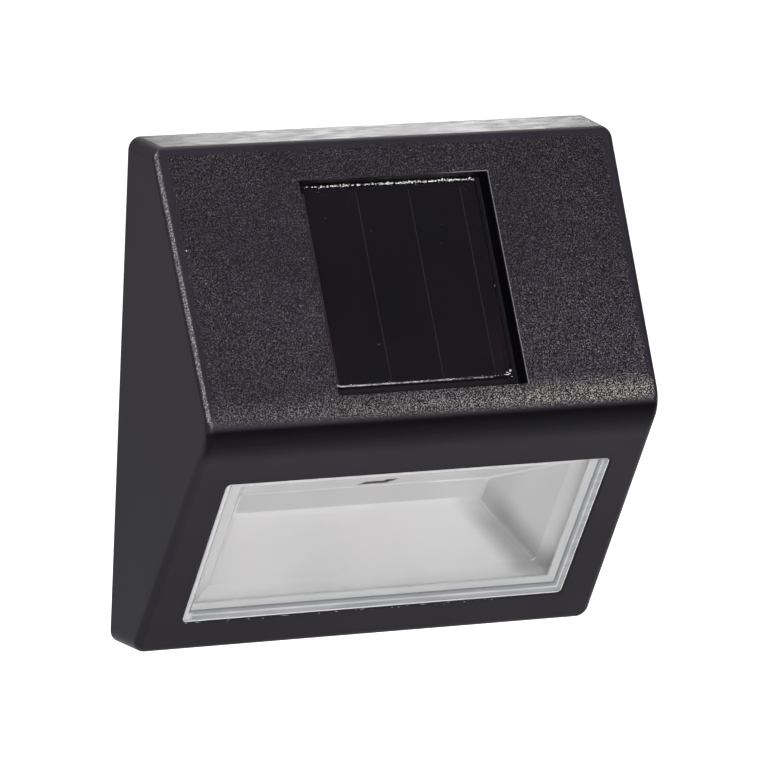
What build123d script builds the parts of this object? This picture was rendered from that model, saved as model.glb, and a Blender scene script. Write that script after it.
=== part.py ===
from build123d import *
from math import atan2, cos, degrees, hypot, pi, radians, sin, tan
import os

# Solar fence light: a wedge-shaped housing that hangs flat against a fence.
# Frame: origin at the middle of the back face, +X right, -Y out of the fence, +Z up. Millimetres.
# "Depth" on a slope is measured square to that slope, inwards from its outer skin, and "rise" runs
# along the slope from the line where the two slopes would meet, positive upwards.

# ---- housing ----------------------------------------------------------------------------------
WIDTH = 100.0
HEIGHT = 100.0
RIM_DEPTH = 10.0          # from the back face to where each slope starts
RIDGE_DEPTH = 38.2        # from the back face to where the two slopes would meet
SIDE_DRAFT = 2.2          # degrees, on all four outer walls
RIDGE_RADIUS = 7.0
EDGE_RADIUS = 1.5
CORNER_RADIUS = 2.5
INNER_CORNER_RADIUS = 0.3
WALL = 2.2
WELD = 0.4                # how far a rib or boss runs into the wall that carries it

# ---- back cover and how it is held ----------------------------------------------------------------
COVER_THICKNESS = 3.0
COVER_GAP = 0.3           # between the cover's edge and the housing wall
COVER_CORNER_RADIUS = 0.8
GASKET_THICKNESS = 0.8
GASKET_WIDTH = 1.4
LEDGE_WIDTH = 1.8         # the shelf inside the rim that the gasket lies on
LEDGE_HEIGHT = 1.6
LIP_THICKNESS = 1.4       # ribs on the cover that centre it inside the shelf
LIP_HEIGHT = 2.4
LIP_CORNER_GAP = 19.0     # from the housing's corners to the ribs' ends
LIP_GAP = 0.3
BOSS_INSET = 7.6          # from the housing's side and end faces to a cover screw
BOSS_RADIUS = 3.2
BOSS_RIB = 1.6
LOWER_BOSS_LENGTH = 4.4   # the lower bosses stop short of the reflector's flange
SCREW_SHANK_RADIUS = 1.25
SCREW_HEAD_RADIUS = 2.4
SCREW_HEAD_HEIGHT = 1.4
SCREW_LENGTH = 6.2        # under the head
HEAD_RIM_SHARE = 0.6      # of a head's height, where its rim starts to round over
HEAD_TOP_SHARE = 0.75     # of a head's radius, the flat on top
SCREW_SINK = 0.3          # how far the head lies under the cover's face
HOLE_GAP = 0.3            # round a shank in its clearance hole, and round a sunk head
PILOT_GAP = 0.05          # round a shank in its pilot hole

# ---- lens ---------------------------------------------------------------------------------------
WINDOW_SIDE = 8.55        # from the housing's side to the window
WINDOW_TOP = -13.6        # rise of the window's upper edge on the lower slope
WINDOW_FOOT = 7.65        # from the window's lower edge to the slope's end
WINDOW_RADIUS = 1.0
LENS_GAP = 0.15
LENS_SINK = 0.1
LENS_THICKNESS = 1.9
LENS_BORDER = 2.0         # width of the wall round the lens, seen as its border
LENS_FLANGE_WIDTH = 1.5
LENS_FLANGE_THICKNESS = 1.5
SEAL_THICKNESS = 0.5

# ---- reflector ----------------------------------------------------------------------------------
LIP_CLEARANCE = 0.2       # between the reflector's front lip and the lens
LIP_WIDTH = 0.6
FLANGE_THICKNESS = 1.4
WELL_WALL = 1.2
WELL_CLEARANCE = 0.7      # between its back panel and the back cover
MOUTH_DEPTH = 4.1         # of the funnel's mouth under the outer skin
MOUTH_SIDE = 5.85         # from the window's edges to the funnel's mouth
MOUTH_HEAD = 3.9
MOUTH_FOOT = 5.65
WELL_SIDE_LEAN = 8.6      # how far each side comes in between the mouth and the back panel
WELL_CEILING_LEAN = 15.3
BACK_PANEL_HEIGHT = 5.5
WELL_RADIUS = 1.6
EAR_SIDE = 8.45           # from the window's side and top to the middle of an ear's screw
EAR_HEAD = 5.4
EAR_RADIUS = 3.0
EAR_PILOT_DEPTH = 1.0     # where the ear screws' pilot holes end, under the outer skin
EAR_SCREW_LENGTH = 4.2
EAR_SCREW_RADIUS = 1.0
EAR_HEAD_RADIUS = 2.0
EAR_HEAD_HEIGHT = 1.3

# ---- circuit board, clipped over the well's sloping ceiling -----------------------------------------
BOARD_WIDTH = 44.0
BOARD_FRONT = 0.6         # from the funnel's mouth to the board, along the ceiling
BOARD_BACK = 1.3          # from the board to the ceiling's far end
BOARD_THICKNESS = 1.2
BOARD_STANDOFF = 0.8
BOARD_CORNER_RADIUS = 1.0
PAD_INSET = 3.0           # from the board's ends to its pads
PAD_WIDTH = 2.0
CLIP_INSET = 7.5
CLIP_WIDTH = 4.0
CLIP_THICKNESS = 1.0
CLIP_REACH = 0.7          # how far a clip's hook lies over the board
CLIP_GAP = 0.1
LED_ALONG = 13.6          # from the funnel's mouth, along the ceiling
LED_SIZE = 5.0
LED_HEIGHT = 1.6
LED_WINDOW = 6.3
PHOSPHOR_RADIUS = 1.9
PHOSPHOR_DEPTH = 0.7
CHIP_X = 9.0
CHIP_ALONG = 6.0
CHIP_LENGTH = 4.9
CHIP_WIDTH = 3.9
CHIP_HEIGHT = 1.5
CHIP_BEVEL = 0.25
CHIP_LEG_PITCH = 1.27
CHIP_LEG_COUNT = 4
CHIP_LEG_REACH = 1.0
CHIP_LEG_WIDTH = 0.45
CHIP_LEG_THICKNESS = 0.4
COIL_X = -4.0
COIL_ALONG = 5.0
COIL_RADIUS = 1.7
COIL_LENGTH = 8.0
COIL_NECK_RADIUS = 1.3
COIL_NECK_LENGTH = 5.0
COIL_LEAD_RADIUS = 0.35
COIL_LEAD_REACH = 1.6
CAPACITOR_INSET = 5.5     # from the board's end
CAPACITOR_ALONGS = (4.5, 10.5)
CAPACITOR_RADIUS = 2.0
CAPACITOR_HEIGHT = 4.6
CAPACITOR_BEVEL = 0.25

# ---- solar panel --------------------------------------------------------------------------------
PANEL_WINDOW_WIDTH = 40.7
PANEL_WINDOW_BOTTOM = 5.9
PANEL_WINDOW_HEAD = 8.3   # from the window's upper edge to the slope's end
PANEL_WINDOW_RADIUS = 0.4
FRAME_WIDTH = 3.0         # rib frame behind the window, which the panel is bonded to
FRAME_DEPTH = 3.9         # of the frame's back face under the outer skin
SEALANT_THICKNESS = 0.4
SEALANT_WIDTH = 2.4
PANEL_BOARD_THICKNESS = 1.2
STRIP_COUNT = 4           # cell strips, the last one cut short by the panel's edge
STRIP_LEFT = -17.6        # left edge of the first strip
STRIP_PITCH = 11.25
STRIP_GAP = 0.3
CELL_THICKNESS = 0.2
RESIN_THICKNESS = 1.4     # from the panel board to its glossy face
RESIN_SIDE_GAP = 1.2      # between the resin and the window's sides
RESIN_TOP_GAP = 0.5
RESIN_BOTTOM_GAP = 2.3
RESIN_CORNER_RADIUS = 1.5
RESIN_EDGE_RADIUS = 0.7

# ---- battery and its bay --------------------------------------------------------------------------
CELL_RADIUS = 7.1         # AA size, over its sleeve
BODY_LENGTH = 49.2
NUB_LENGTH = 1.1
NUB_RADIUS = 2.75
CAN_GROOVE = 0.6          # the can's rolled shoulder
SLEEVE_THICKNESS = 0.2
BAY_WALL = 1.5
BAY_SIDE_GAP = 0.6        # between the cell and the bay's long walls
BAY_FLOOR_GAP = 0.3
BAY_RADIUS = 4.5          # inside, along the bay's two long front edges
CONTACT_THICKNESS = 0.4
CONTACT_SIZE = 12.0
CONTACT_TAB_WIDTH = 3.0
CONTACT_TAB_REACH = 2.4   # how far the solder tab stands out of the bay's front
SPRING_LENGTH = 4.9
SPRING_WIRE_RADIUS = 0.4
SPRING_TURNS = 3
SPRING_WIRE_SIDES = 6
SPRING_BASE_RADIUS = 4.4
SPRING_TIP_RADIUS = 2.6

# ---- battery door -----------------------------------------------------------------------------------
DOOR_END = 8.0            # from the bay's ends to the door's
DOOR_SIDE = 3.0           # from the bay's long walls to the door's edges
DOOR_THICKNESS = 1.6
DOOR_CORNER_RADIUS = 3.0
DOOR_SINK = 0.2
DOOR_GAP = 0.25
DOOR_SEAL_THICKNESS = 0.8
DOOR_SEAL_WIDTH = 1.5
DOOR_SEAL_GAP = 0.4       # between the seal and the bay's opening
DOOR_BATTERY_GAP = 0.5
DOOR_WELL_WALL = 1.5
DOOR_RIB_END = 3.0        # from the bay's ends to the ribs'
DOOR_RIB_THICKNESS = 1.0
DOOR_RIB_HEIGHT = 1.2
DOOR_RIB_GAP = 0.5
DOOR_SCREW_END = 5.0      # from the bay's ends to the door's screws
DOOR_SCREW_RADIUS = 1.0
DOOR_SCREW_HEAD_RADIUS = 2.0
DOOR_SCREW_HEAD_HEIGHT = 0.9
DOOR_SCREW_LENGTH = 6.0
DOOR_BOSS_RADIUS = 2.8
NOTCH_RADIUS = 4.0
NOTCH_DEPTH = 1.2

# ---- keyholes ---------------------------------------------------------------------------------------
KEYHOLE_SPACING = 60.0
KEYHOLE_HEAD = 18.5       # from the housing's top to the entry holes
KEYHOLE_ENTRY_RADIUS = 4.2
KEYHOLE_SLOT_RADIUS = 2.1
KEYHOLE_SLOT_RISE = 6.5
KEYHOLE_POCKET_DEPTH = 4.6
KEYHOLE_POCKET_WALL = 1.3
KEYHOLE_POCKET_GAP = 1.2  # round the keyhole's outline
KEYHOLE_FOOT = 0.35       # from the pockets down to the battery door's frame

# ---- slide switch -------------------------------------------------------------------------------------
SWITCH_END = 4.0          # from the battery bay's end in to the switch's middle
SWITCH_DROP = 10.8        # from the battery door down to the switch's middle
SWITCH_TRAVEL = 2.0
SWITCH_BODY_LENGTH = 8.6
SWITCH_BODY_HEIGHT = 5.4
SWITCH_BODY_DEPTH = 4.2
SWITCH_FRAME_LENGTH = 19.6
SWITCH_FRAME_THICKNESS = 0.5
PEG_SPACING = 15.0
PEG_RADIUS = 1.0
PEG_HEAD_RADIUS = 1.7
PEG_HEAD_HEIGHT = 0.8
KNOB_LENGTH = 2.4
KNOB_WIDTH = 1.8
KNOB_SINK = 0.5           # how far the knob's tip lies under the back face
KNOB_GAP = 0.1
KNOB_FOOT_THICKNESS = 0.8
KNOB_FOOT_LENGTH = 4.0
DISH_LENGTH = 15.0
DISH_HEIGHT = 9.0
DISH_DEPTH = 1.5
DISH_RADIUS = 3.0
PIN_COUNT = 3
PIN_PITCH = 2.5
PIN_WIDTH = 0.8
PIN_THICKNESS = 0.4
PIN_LENGTH = 2.2

# ---- posts on the cover that press the reflector's lower flange ------------------------------------
POST_SPACING = 48.0
POST_RADIUS = 2.5
POST_GAP = 0.2

# ---- wires ------------------------------------------------------------------------------------------
WIRE_RADIUS = 0.6
WIRE_SIDES = 8
WIRE_LEAD = 2.5           # how far a wire runs straight out of a joint
WIRE_DROP = 4.5           # how far it comes straight down onto the circuit board
WIRE_SWEEP = 0.45         # an arc's share of the shorter run beside it
WIRE_SAG = 3.75           # how far a panel wire's lowest bend hangs off the panel board
PANEL_WIRE_RISE = 14.0    # where the wires leave the panel board
PANEL_WIRE_ALONG = 14.0   # where they meet the circuit board, along the ceiling
PANEL_WIRE_XS = {"red": (9.0, 6.0), "black": (5.0, 2.5)}
BATTERY_WIRE_DROP = 8.0
BATTERY_WIRE_ALONG = 10.0
BATTERY_WIRE_INSETS = {"red": 2.5, "black": 8.0}  # from the circuit board's ends
SWITCH_WIRE_INSETS = (2.5, 5.0)
SWITCH_WIRE_ALONGS = (15.0, 14.0)

# ---- places that follow from the sizes ----------------------------------------------------------------
SLOPE = atan2(RIDGE_DEPTH - RIM_DEPTH, HEIGHT / 2)
UPPER = Plane(origin=(0, -RIDGE_DEPTH, 0), x_dir=(1, 0, 0), z_dir=(0, -cos(SLOPE), sin(SLOPE)))
LOWER = Plane(origin=(0, -RIDGE_DEPTH, 0), x_dir=(1, 0, 0), z_dir=(0, -cos(SLOPE), -sin(SLOPE)))

SLOPE_LENGTH = hypot(HEIGHT / 2, RIDGE_DEPTH - RIM_DEPTH)

BOSS_X = WIDTH / 2 - BOSS_INSET
BOSS_Z = HEIGHT / 2 - BOSS_INSET
COVER_HALF_WIDTH = WIDTH / 2 - WALL - COVER_GAP
COVER_HALF_HEIGHT = HEIGHT / 2 - WALL - COVER_GAP
LEDGE_FACE = COVER_THICKNESS + GASKET_THICKNESS
HEAD_SEAT = SCREW_SINK + SCREW_HEAD_HEIGHT

WINDOW_WIDTH = WIDTH - 2 * WINDOW_SIDE
WINDOW_BOTTOM = WINDOW_FOOT - SLOPE_LENGTH
WINDOW_HEIGHT = WINDOW_TOP - WINDOW_BOTTOM
WINDOW_MIDDLE = (WINDOW_TOP + WINDOW_BOTTOM) / 2
LENS_FLANGE_FRONT = WALL + SEAL_THICKNESS
LENS_FLANGE_BACK = LENS_FLANGE_FRONT + LENS_FLANGE_THICKNESS
LENS_BACK = LENS_SINK + LENS_THICKNESS
FLANGE_BACK = LENS_FLANGE_BACK + FLANGE_THICKNESS

MOUTH_HALF_WIDTH = WINDOW_WIDTH / 2 - MOUTH_SIDE
MOUTH_TOP = WINDOW_TOP - MOUTH_HEAD
MOUTH_BOTTOM = WINDOW_BOTTOM + MOUTH_FOOT
BACK_HALF_WIDTH = MOUTH_HALF_WIDTH - WELL_SIDE_LEAN
BACK_TOP = MOUTH_TOP - WELL_CEILING_LEAN
BACK_BOTTOM = BACK_TOP - BACK_PANEL_HEIGHT
WELL_ROOM = RIDGE_DEPTH + BACK_BOTTOM * sin(SLOPE) - COVER_THICKNESS - WELL_CLEARANCE
WELL_DEPTH = WELL_ROOM / cos(SLOPE) - WELL_WALL
CEILING_LENGTH = hypot(WELL_CEILING_LEAN, WELL_DEPTH - MOUTH_DEPTH)
BOARD_DEPTH = CEILING_LENGTH - BOARD_FRONT - BOARD_BACK
EAR_X = WINDOW_WIDTH / 2 - EAR_SIDE
EAR_RISE = WINDOW_TOP + EAR_HEAD

PANEL_WINDOW_TOP = SLOPE_LENGTH - PANEL_WINDOW_HEAD
PANEL_WINDOW_HEIGHT = PANEL_WINDOW_TOP - PANEL_WINDOW_BOTTOM
PANEL_WINDOW_MIDDLE = (PANEL_WINDOW_TOP + PANEL_WINDOW_BOTTOM) / 2
PANEL_BOARD_FRONT = FRAME_DEPTH + SEALANT_THICKNESS
PANEL_BOARD_BACK = PANEL_BOARD_FRONT + PANEL_BOARD_THICKNESS
RESIN_FACE = PANEL_BOARD_FRONT - RESIN_THICKNESS

DOOR_INNER = DOOR_SINK + DOOR_THICKNESS
DOOR_SEAT = DOOR_INNER + DOOR_SEAL_THICKNESS
CELL_AXIS = DOOR_INNER + DOOR_BATTERY_GAP + CELL_RADIUS
BAY_FLOOR = CELL_AXIS + CELL_RADIUS + BAY_FLOOR_GAP
BAY_LENGTH = 2 * CONTACT_THICKNESS + SPRING_LENGTH + BODY_LENGTH + NUB_LENGTH
BAY_HEIGHT = 2 * (CELL_RADIUS + BAY_SIDE_GAP)
BAY_FRONT = BAY_FLOOR + BAY_WALL
DOOR_LENGTH = BAY_LENGTH + 2 * DOOR_END
DOOR_HEIGHT = BAY_HEIGHT + 2 * DOOR_SIDE
DOOR_SCREW_X = BAY_LENGTH / 2 + DOOR_SCREW_END

KEYHOLE_Z = HEIGHT / 2 - KEYHOLE_HEAD
POCKET_FOOT = KEYHOLE_Z - KEYHOLE_ENTRY_RADIUS - KEYHOLE_POCKET_GAP - KEYHOLE_POCKET_WALL
BAY_Z = POCKET_FOOT - KEYHOLE_FOOT - DOOR_HEIGHT / 2 - DOOR_GAP - DOOR_WELL_WALL
SWITCH_X = SWITCH_END - BAY_LENGTH / 2
SWITCH_Z = BAY_Z - DOOR_HEIGHT / 2 - SWITCH_DROP
POST_RISE = (WINDOW_BOTTOM - LENS_FLANGE_WIDTH + MOUTH_BOTTOM - WELL_WALL) / 2
POST_Z = POST_RISE * cos(SLOPE) + FLANGE_BACK * sin(SLOPE)


def rounded(width, height, radius=0.0):
    """A rectangle about the origin, with rounded corners where a radius is given."""
    return RectangleRounded(width, height, radius) if radius > 0 else Rectangle(width, height)


def slope_slab(plane, outline, near, far):
    """An outline drawn on a slope, solid from depth `near` to depth `far` under the skin."""
    return extrude(plane.offset(-far) * outline, far - near)


def back_slab(outline, near, far):
    """An outline drawn on the back face (X, Z), solid from `near` to `far` in front of it."""
    return extrude(Plane.XZ.offset(near) * outline, far - near)


def wedge_profile(inset):
    """The housing's side view with every face but the back one moved in by `inset`."""
    half = HEIGHT / 2 - inset
    ridge = RIDGE_DEPTH - inset / cos(SLOPE)
    rim = ridge - half * tan(SLOPE)
    profile = Polygon((0, -half), (-rim, -half), (-ridge, 0), (-rim, half), (0, half), align=None)
    tip = profile.vertices().sort_by(Axis.X)[0]
    return fillet(tip, RIDGE_RADIUS - inset)


def wedge(inset):
    """The solid wedge that lies `inset` inside the housing's skin, with its four drafted walls."""
    base = Rectangle(WIDTH - 2 * inset, HEIGHT - 2 * inset)
    walls = extrude(Plane.XZ * base, RIDGE_DEPTH, taper=SIDE_DRAFT)
    return walls & extrude(Plane.YZ * wedge_profile(inset), WIDTH, both=True)


def housing_skin():
    """The outer wedge with its corners and its front edges rounded."""
    body = wedge(0)
    corners = body.edges().filter_by(lambda e: e.bounding_box().size.Y > RIM_DEPTH / 2
                                     and abs(e.center().Z) > HEIGHT / 3)
    corners = corners.filter_by(lambda e: e.bounding_box().max.Y > -EDGE_RADIUS)
    body = fillet(corners, CORNER_RADIUS)
    front = body.edges().filter_by(lambda e: e.bounding_box().max.Y < EDGE_RADIUS - RIM_DEPTH)
    front = front.filter_by(lambda e: not (e.bounding_box().size.X > WIDTH / 2
                                           and abs(e.center().Z) < HEIGHT / 4))
    return fillet(front, EDGE_RADIUS)


# ---- housing --------------------------------------------------------------------------------------
def corner_places():
    """The four cover screws' places on the back face, as (x, z)."""
    return [(x, z) for z in (-BOSS_Z, BOSS_Z) for x in (-BOSS_X, BOSS_X)]


def cover_boss(x, z):
    """A screw boss with two ribs to the nearest walls; the upper ones reach the slope."""
    far = RIDGE_DEPTH if z > 0 else COVER_THICKNESS + LOWER_BOSS_LENGTH
    side = 1 if x > 0 else -1
    rise = 1 if z > 0 else -1
    ribs = Pos((x + side * WIDTH / 2) / 2, z) * Rectangle(WIDTH / 2 - abs(x), BOSS_RIB)
    ribs += Pos(x, (z + rise * HEIGHT / 2) / 2) * Rectangle(BOSS_RIB, HEIGHT / 2 - abs(z))
    boss = back_slab(Pos(x, z) * Circle(BOSS_RADIUS), COVER_THICKNESS, far)
    return boss + back_slab(ribs, LEDGE_FACE, far)


def gasket_shelf():
    """The shelf round the inside of the rim."""
    opening = Rectangle(WIDTH - 2 * (WALL + LEDGE_WIDTH), HEIGHT - 2 * (WALL + LEDGE_WIDTH))
    ring = Rectangle(WIDTH, HEIGHT) - opening
    return back_slab(ring, LEDGE_FACE, LEDGE_FACE + LEDGE_HEIGHT)


def lens_window():
    return Pos(0, WINDOW_MIDDLE) * rounded(WINDOW_WIDTH, WINDOW_HEIGHT, WINDOW_RADIUS)


def panel_window():
    outline = rounded(PANEL_WINDOW_WIDTH, PANEL_WINDOW_HEIGHT, PANEL_WINDOW_RADIUS)
    return Pos(0, PANEL_WINDOW_MIDDLE) * outline


def panel_frame_outline(margin):
    """The outline that stands `margin` outside the solar window."""
    return Pos(0, PANEL_WINDOW_MIDDLE) * Rectangle(PANEL_WINDOW_WIDTH + 2 * margin,
                                                   PANEL_WINDOW_HEIGHT + 2 * margin)


def ear_circles(radius):
    """A circle at each of the reflector's two screw places, on the lower slope."""
    return Sketch() + [Pos(x, EAR_RISE) * Circle(radius) for x in (-EAR_X, EAR_X)]


def front_housing():
    """The wedge-shaped shell with its two windows, bosses, gasket shelf and panel frame."""
    inside = gasket_shelf()
    for x, z in corner_places():
        inside += cover_boss(x, z)
    inside += slope_slab(UPPER, panel_frame_outline(FRAME_WIDTH), WALL - WELD, FRAME_DEPTH)
    inside += slope_slab(LOWER, ear_circles(EAR_RADIUS), WALL - WELD, LENS_FLANGE_BACK)
    body = housing_skin() - wedge(WALL)
    body += inside & wedge(WALL - WELD)
    body -= slope_slab(LOWER, lens_window(), -WALL, 2 * WALL)
    body -= slope_slab(UPPER, panel_window(), -WALL, FRAME_DEPTH + WALL)
    body -= slope_slab(LOWER, ear_circles(EAR_SCREW_RADIUS + PILOT_GAP), EAR_PILOT_DEPTH, FLANGE_BACK)
    pilot_end = HEAD_SEAT + SCREW_LENGTH + PILOT_GAP
    for x, z in corner_places():
        body -= back_slab(Pos(x, z) * Circle(SCREW_SHANK_RADIUS + PILOT_GAP), COVER_THICKNESS, pilot_end)
    return body


# ---- back cover -------------------------------------------------------------------------------------
def keyhole_outline(x):
    """A round entry with a narrower slot above it."""
    top = KEYHOLE_Z + KEYHOLE_SLOT_RISE
    slot = Pos(x, (KEYHOLE_Z + top) / 2) * Rectangle(2 * KEYHOLE_SLOT_RADIUS, KEYHOLE_SLOT_RISE)
    slot += Pos(x, top) * Circle(KEYHOLE_SLOT_RADIUS)
    return slot + Pos(x, KEYHOLE_Z) * Circle(KEYHOLE_ENTRY_RADIUS)


def keyhole_pocket(x, margin):
    """The room behind a keyhole that the screw's head moves up in."""
    height = KEYHOLE_SLOT_RISE + 2 * KEYHOLE_ENTRY_RADIUS + 2 * KEYHOLE_POCKET_GAP + 2 * margin
    width = 2 * (KEYHOLE_ENTRY_RADIUS + KEYHOLE_POCKET_GAP + margin)
    far = COVER_THICKNESS + KEYHOLE_POCKET_DEPTH + margin
    radius = KEYHOLE_ENTRY_RADIUS / 2 + margin
    outline = Pos(x, KEYHOLE_Z + KEYHOLE_SLOT_RISE / 2) * rounded(width, height, radius)
    return back_slab(outline, COVER_THICKNESS - WELD * (margin > 0), far)


def bay_block(margin, near, far, radius):
    """The battery bay's form: a trough along X with its two front edges rounded."""
    outline = Pos(0, BAY_Z) * Rectangle(BAY_LENGTH + 2 * margin, BAY_HEIGHT + 2 * margin)
    block = back_slab(outline, near, far)
    edges = block.edges().filter_by(Axis.X).group_by(Axis.Y)[0]
    return fillet(edges, radius)


def contact_tab_x(side):
    """The X of a contact plate's middle; side is +1 for the positive end."""
    return side * (BAY_LENGTH - CONTACT_THICKNESS) / 2


def battery_bay():
    """The bay's walls, the thickened frame under the door and the two door bosses."""
    frame = Pos(0, BAY_Z) * rounded(DOOR_LENGTH + 2 * (DOOR_GAP + DOOR_WELL_WALL),
                                    DOOR_HEIGHT + 2 * (DOOR_GAP + DOOR_WELL_WALL),
                                    DOOR_CORNER_RADIUS + DOOR_WELL_WALL)
    bay = bay_block(BAY_WALL, COVER_THICKNESS - WELD, BAY_FRONT, BAY_RADIUS + BAY_WALL)
    bay += back_slab(frame, COVER_THICKNESS - WELD, DOOR_SEAT + DOOR_WELL_WALL)
    for x in (-DOOR_SCREW_X, DOOR_SCREW_X):
        boss = Pos(x, BAY_Z) * Circle(DOOR_BOSS_RADIUS)
        bay += back_slab(boss, DOOR_SEAT, DOOR_INNER + DOOR_SCREW_LENGTH + BAY_WALL)
    return bay


def door_outline(gap):
    return Pos(0, BAY_Z) * rounded(DOOR_LENGTH + 2 * gap, DOOR_HEIGHT + 2 * gap, DOOR_CORNER_RADIUS + gap)


def door_well():
    """What is cut away for the door and the cell: the door's recess, the trough and the pilot holes."""
    bosses = Sketch() + [Pos(x, BAY_Z) * Circle(DOOR_BOSS_RADIUS) for x in (-DOOR_SCREW_X, DOOR_SCREW_X)]
    well = back_slab(door_outline(DOOR_GAP), 0, DOOR_INNER)
    well += back_slab(door_outline(DOOR_GAP) - bosses, DOOR_INNER, DOOR_SEAT)
    well += bay_block(0, DOOR_INNER, BAY_FLOOR, BAY_RADIUS)
    for x in (-DOOR_SCREW_X, DOOR_SCREW_X):
        pilot = Pos(x, BAY_Z) * Circle(DOOR_SCREW_RADIUS + PILOT_GAP)
        well += back_slab(pilot, DOOR_INNER, DOOR_INNER + DOOR_SCREW_LENGTH)
    for side in (-1, 1):
        slot = Rectangle(CONTACT_THICKNESS + 2 * PILOT_GAP, CONTACT_TAB_WIDTH + 2 * PILOT_GAP)
        well += back_slab(Pos(contact_tab_x(side), BAY_Z) * slot, BAY_FLOOR, BAY_FRONT)
    return well


def centring_lips():
    """Four straight ribs that centre the cover inside the gasket shelf."""
    x = WIDTH / 2 - WALL - LEDGE_WIDTH - LIP_GAP - LIP_THICKNESS / 2
    z = HEIGHT / 2 - WALL - LEDGE_WIDTH - LIP_GAP - LIP_THICKNESS / 2
    upright = Rectangle(LIP_THICKNESS, HEIGHT - 2 * LIP_CORNER_GAP)
    level = Rectangle(WIDTH - 2 * LIP_CORNER_GAP, LIP_THICKNESS)
    lips = [Pos(side * x, 0) * upright for side in (-1, 1)]
    lips += [Pos(0, side * z) * level for side in (-1, 1)]
    return back_slab(Sketch() + lips, COVER_THICKNESS - WELD, COVER_THICKNESS + LIP_HEIGHT)


def press_posts():
    """Two posts whose slanted ends press the reflector's lower flange."""
    xs = (-POST_SPACING / 2, POST_SPACING / 2)
    circles = Sketch() + [Pos(x, POST_Z) * Circle(POST_RADIUS) for x in xs]
    posts = back_slab(circles, COVER_THICKNESS - WELD, RIDGE_DEPTH)
    in_front = Rectangle(2 * WIDTH, 3 * HEIGHT)
    return posts - slope_slab(LOWER, in_front, -RIDGE_DEPTH, FLANGE_BACK + POST_GAP)


def switch_place(outline, near, far):
    return back_slab(Pos(SWITCH_X, SWITCH_Z) * outline, near, far)


def peg_circles(radius):
    return Sketch() + [Pos(x, 0) * Circle(radius) for x in (-PEG_SPACING / 2, PEG_SPACING / 2)]


def knob_room(gap):
    """The knob's outline over its whole travel."""
    return Pos(SWITCH_TRAVEL / 2, 0) * Rectangle(KNOB_LENGTH + SWITCH_TRAVEL + 2 * gap, KNOB_WIDTH + 2 * gap)


def switch_pegs():
    """The heat-formed pegs that hold the switch's frame."""
    frame_back = COVER_THICKNESS + SWITCH_FRAME_THICKNESS
    pegs = switch_place(peg_circles(PEG_RADIUS), COVER_THICKNESS - WELD, frame_back)
    return pegs + switch_place(peg_circles(PEG_HEAD_RADIUS), frame_back, frame_back + PEG_HEAD_HEIGHT)


def back_cover():
    """The cover with its bay, keyholes, lips, posts and switch seat."""
    plate = rounded(2 * COVER_HALF_WIDTH, 2 * COVER_HALF_HEIGHT, COVER_CORNER_RADIUS)
    body = back_slab(plate, 0, COVER_THICKNESS)
    body += battery_bay() + centring_lips() + press_posts() + switch_pegs()
    for x in (-KEYHOLE_SPACING / 2, KEYHOLE_SPACING / 2):
        body += keyhole_pocket(x, KEYHOLE_POCKET_WALL)
        body -= keyhole_pocket(x, 0)
        body -= back_slab(keyhole_outline(x), 0, COVER_THICKNESS)
    body -= door_well()
    notch = Pos(0, BAY_Z + DOOR_HEIGHT / 2 + DOOR_GAP) * Circle(NOTCH_RADIUS)
    body -= back_slab(notch, 0, NOTCH_DEPTH)
    body -= switch_place(rounded(DISH_LENGTH, DISH_HEIGHT, DISH_RADIUS), 0, DISH_DEPTH)
    body -= switch_place(knob_room(KNOB_GAP), DISH_DEPTH, COVER_THICKNESS)
    for x, z in corner_places():
        body -= back_slab(Pos(x, z) * Circle(SCREW_HEAD_RADIUS + HOLE_GAP), 0, HEAD_SEAT)
        body -= back_slab(Pos(x, z) * Circle(SCREW_SHANK_RADIUS + HOLE_GAP), HEAD_SEAT, COVER_THICKNESS)
    return body


def cover_gasket():
    """The rubber ring between the cover and the shelf."""
    outer = Rectangle(2 * COVER_HALF_WIDTH, 2 * COVER_HALF_HEIGHT)
    inner = Rectangle(2 * (COVER_HALF_WIDTH - GASKET_WIDTH), 2 * (COVER_HALF_HEIGHT - GASKET_WIDTH))
    return back_slab(outer - inner, COVER_THICKNESS, LEDGE_FACE)


def screw(head_radius, head_height, shank_radius, length):
    """A pan-head screw on its axis: the head stands on the plane, the shank goes down from it."""
    tip = shank_radius - length
    rim = head_height * HEAD_RIM_SHARE
    top = head_radius * HEAD_TOP_SHARE
    profile = Polygon((0, -length), (shank_radius, tip), (shank_radius, 0), (head_radius, 0),
                      (head_radius, rim), (top, head_height), (0, head_height), align=None)
    return revolve(Plane.XZ * profile, Axis.Z)


def back_screw(x, z, seat, head_radius, head_height, shank_radius, length):
    """A screw driven from the back, its head seated at depth `seat`."""
    place = Plane(origin=(x, -seat, z), x_dir=(1, 0, 0), z_dir=(0, 1, 0))
    return place * screw(head_radius, head_height, shank_radius, length)


def cover_screws():
    return Compound([back_screw(x, z, HEAD_SEAT, SCREW_HEAD_RADIUS, SCREW_HEAD_HEIGHT, SCREW_SHANK_RADIUS,
                                SCREW_LENGTH) for x, z in corner_places()])


# ---- lens and reflector -----------------------------------------------------------------------------
def lens_outline(inset):
    """The window's outline moved in by `inset`."""
    radius = max(WINDOW_RADIUS - inset / 2, INNER_CORNER_RADIUS)
    return Pos(0, WINDOW_MIDDLE) * rounded(WINDOW_WIDTH - 2 * inset, WINDOW_HEIGHT - 2 * inset, radius)


def lens():
    """A shallow tray: a flat front, a wall all round it and a flange behind the housing."""
    body = slope_slab(LOWER, lens_outline(LENS_GAP), LENS_SINK, LENS_FLANGE_BACK)
    body += slope_slab(LOWER, lens_outline(-LENS_FLANGE_WIDTH), LENS_FLANGE_FRONT, LENS_FLANGE_BACK)
    return body - slope_slab(LOWER, lens_outline(LENS_BORDER), LENS_BACK, LENS_FLANGE_BACK)


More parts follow.
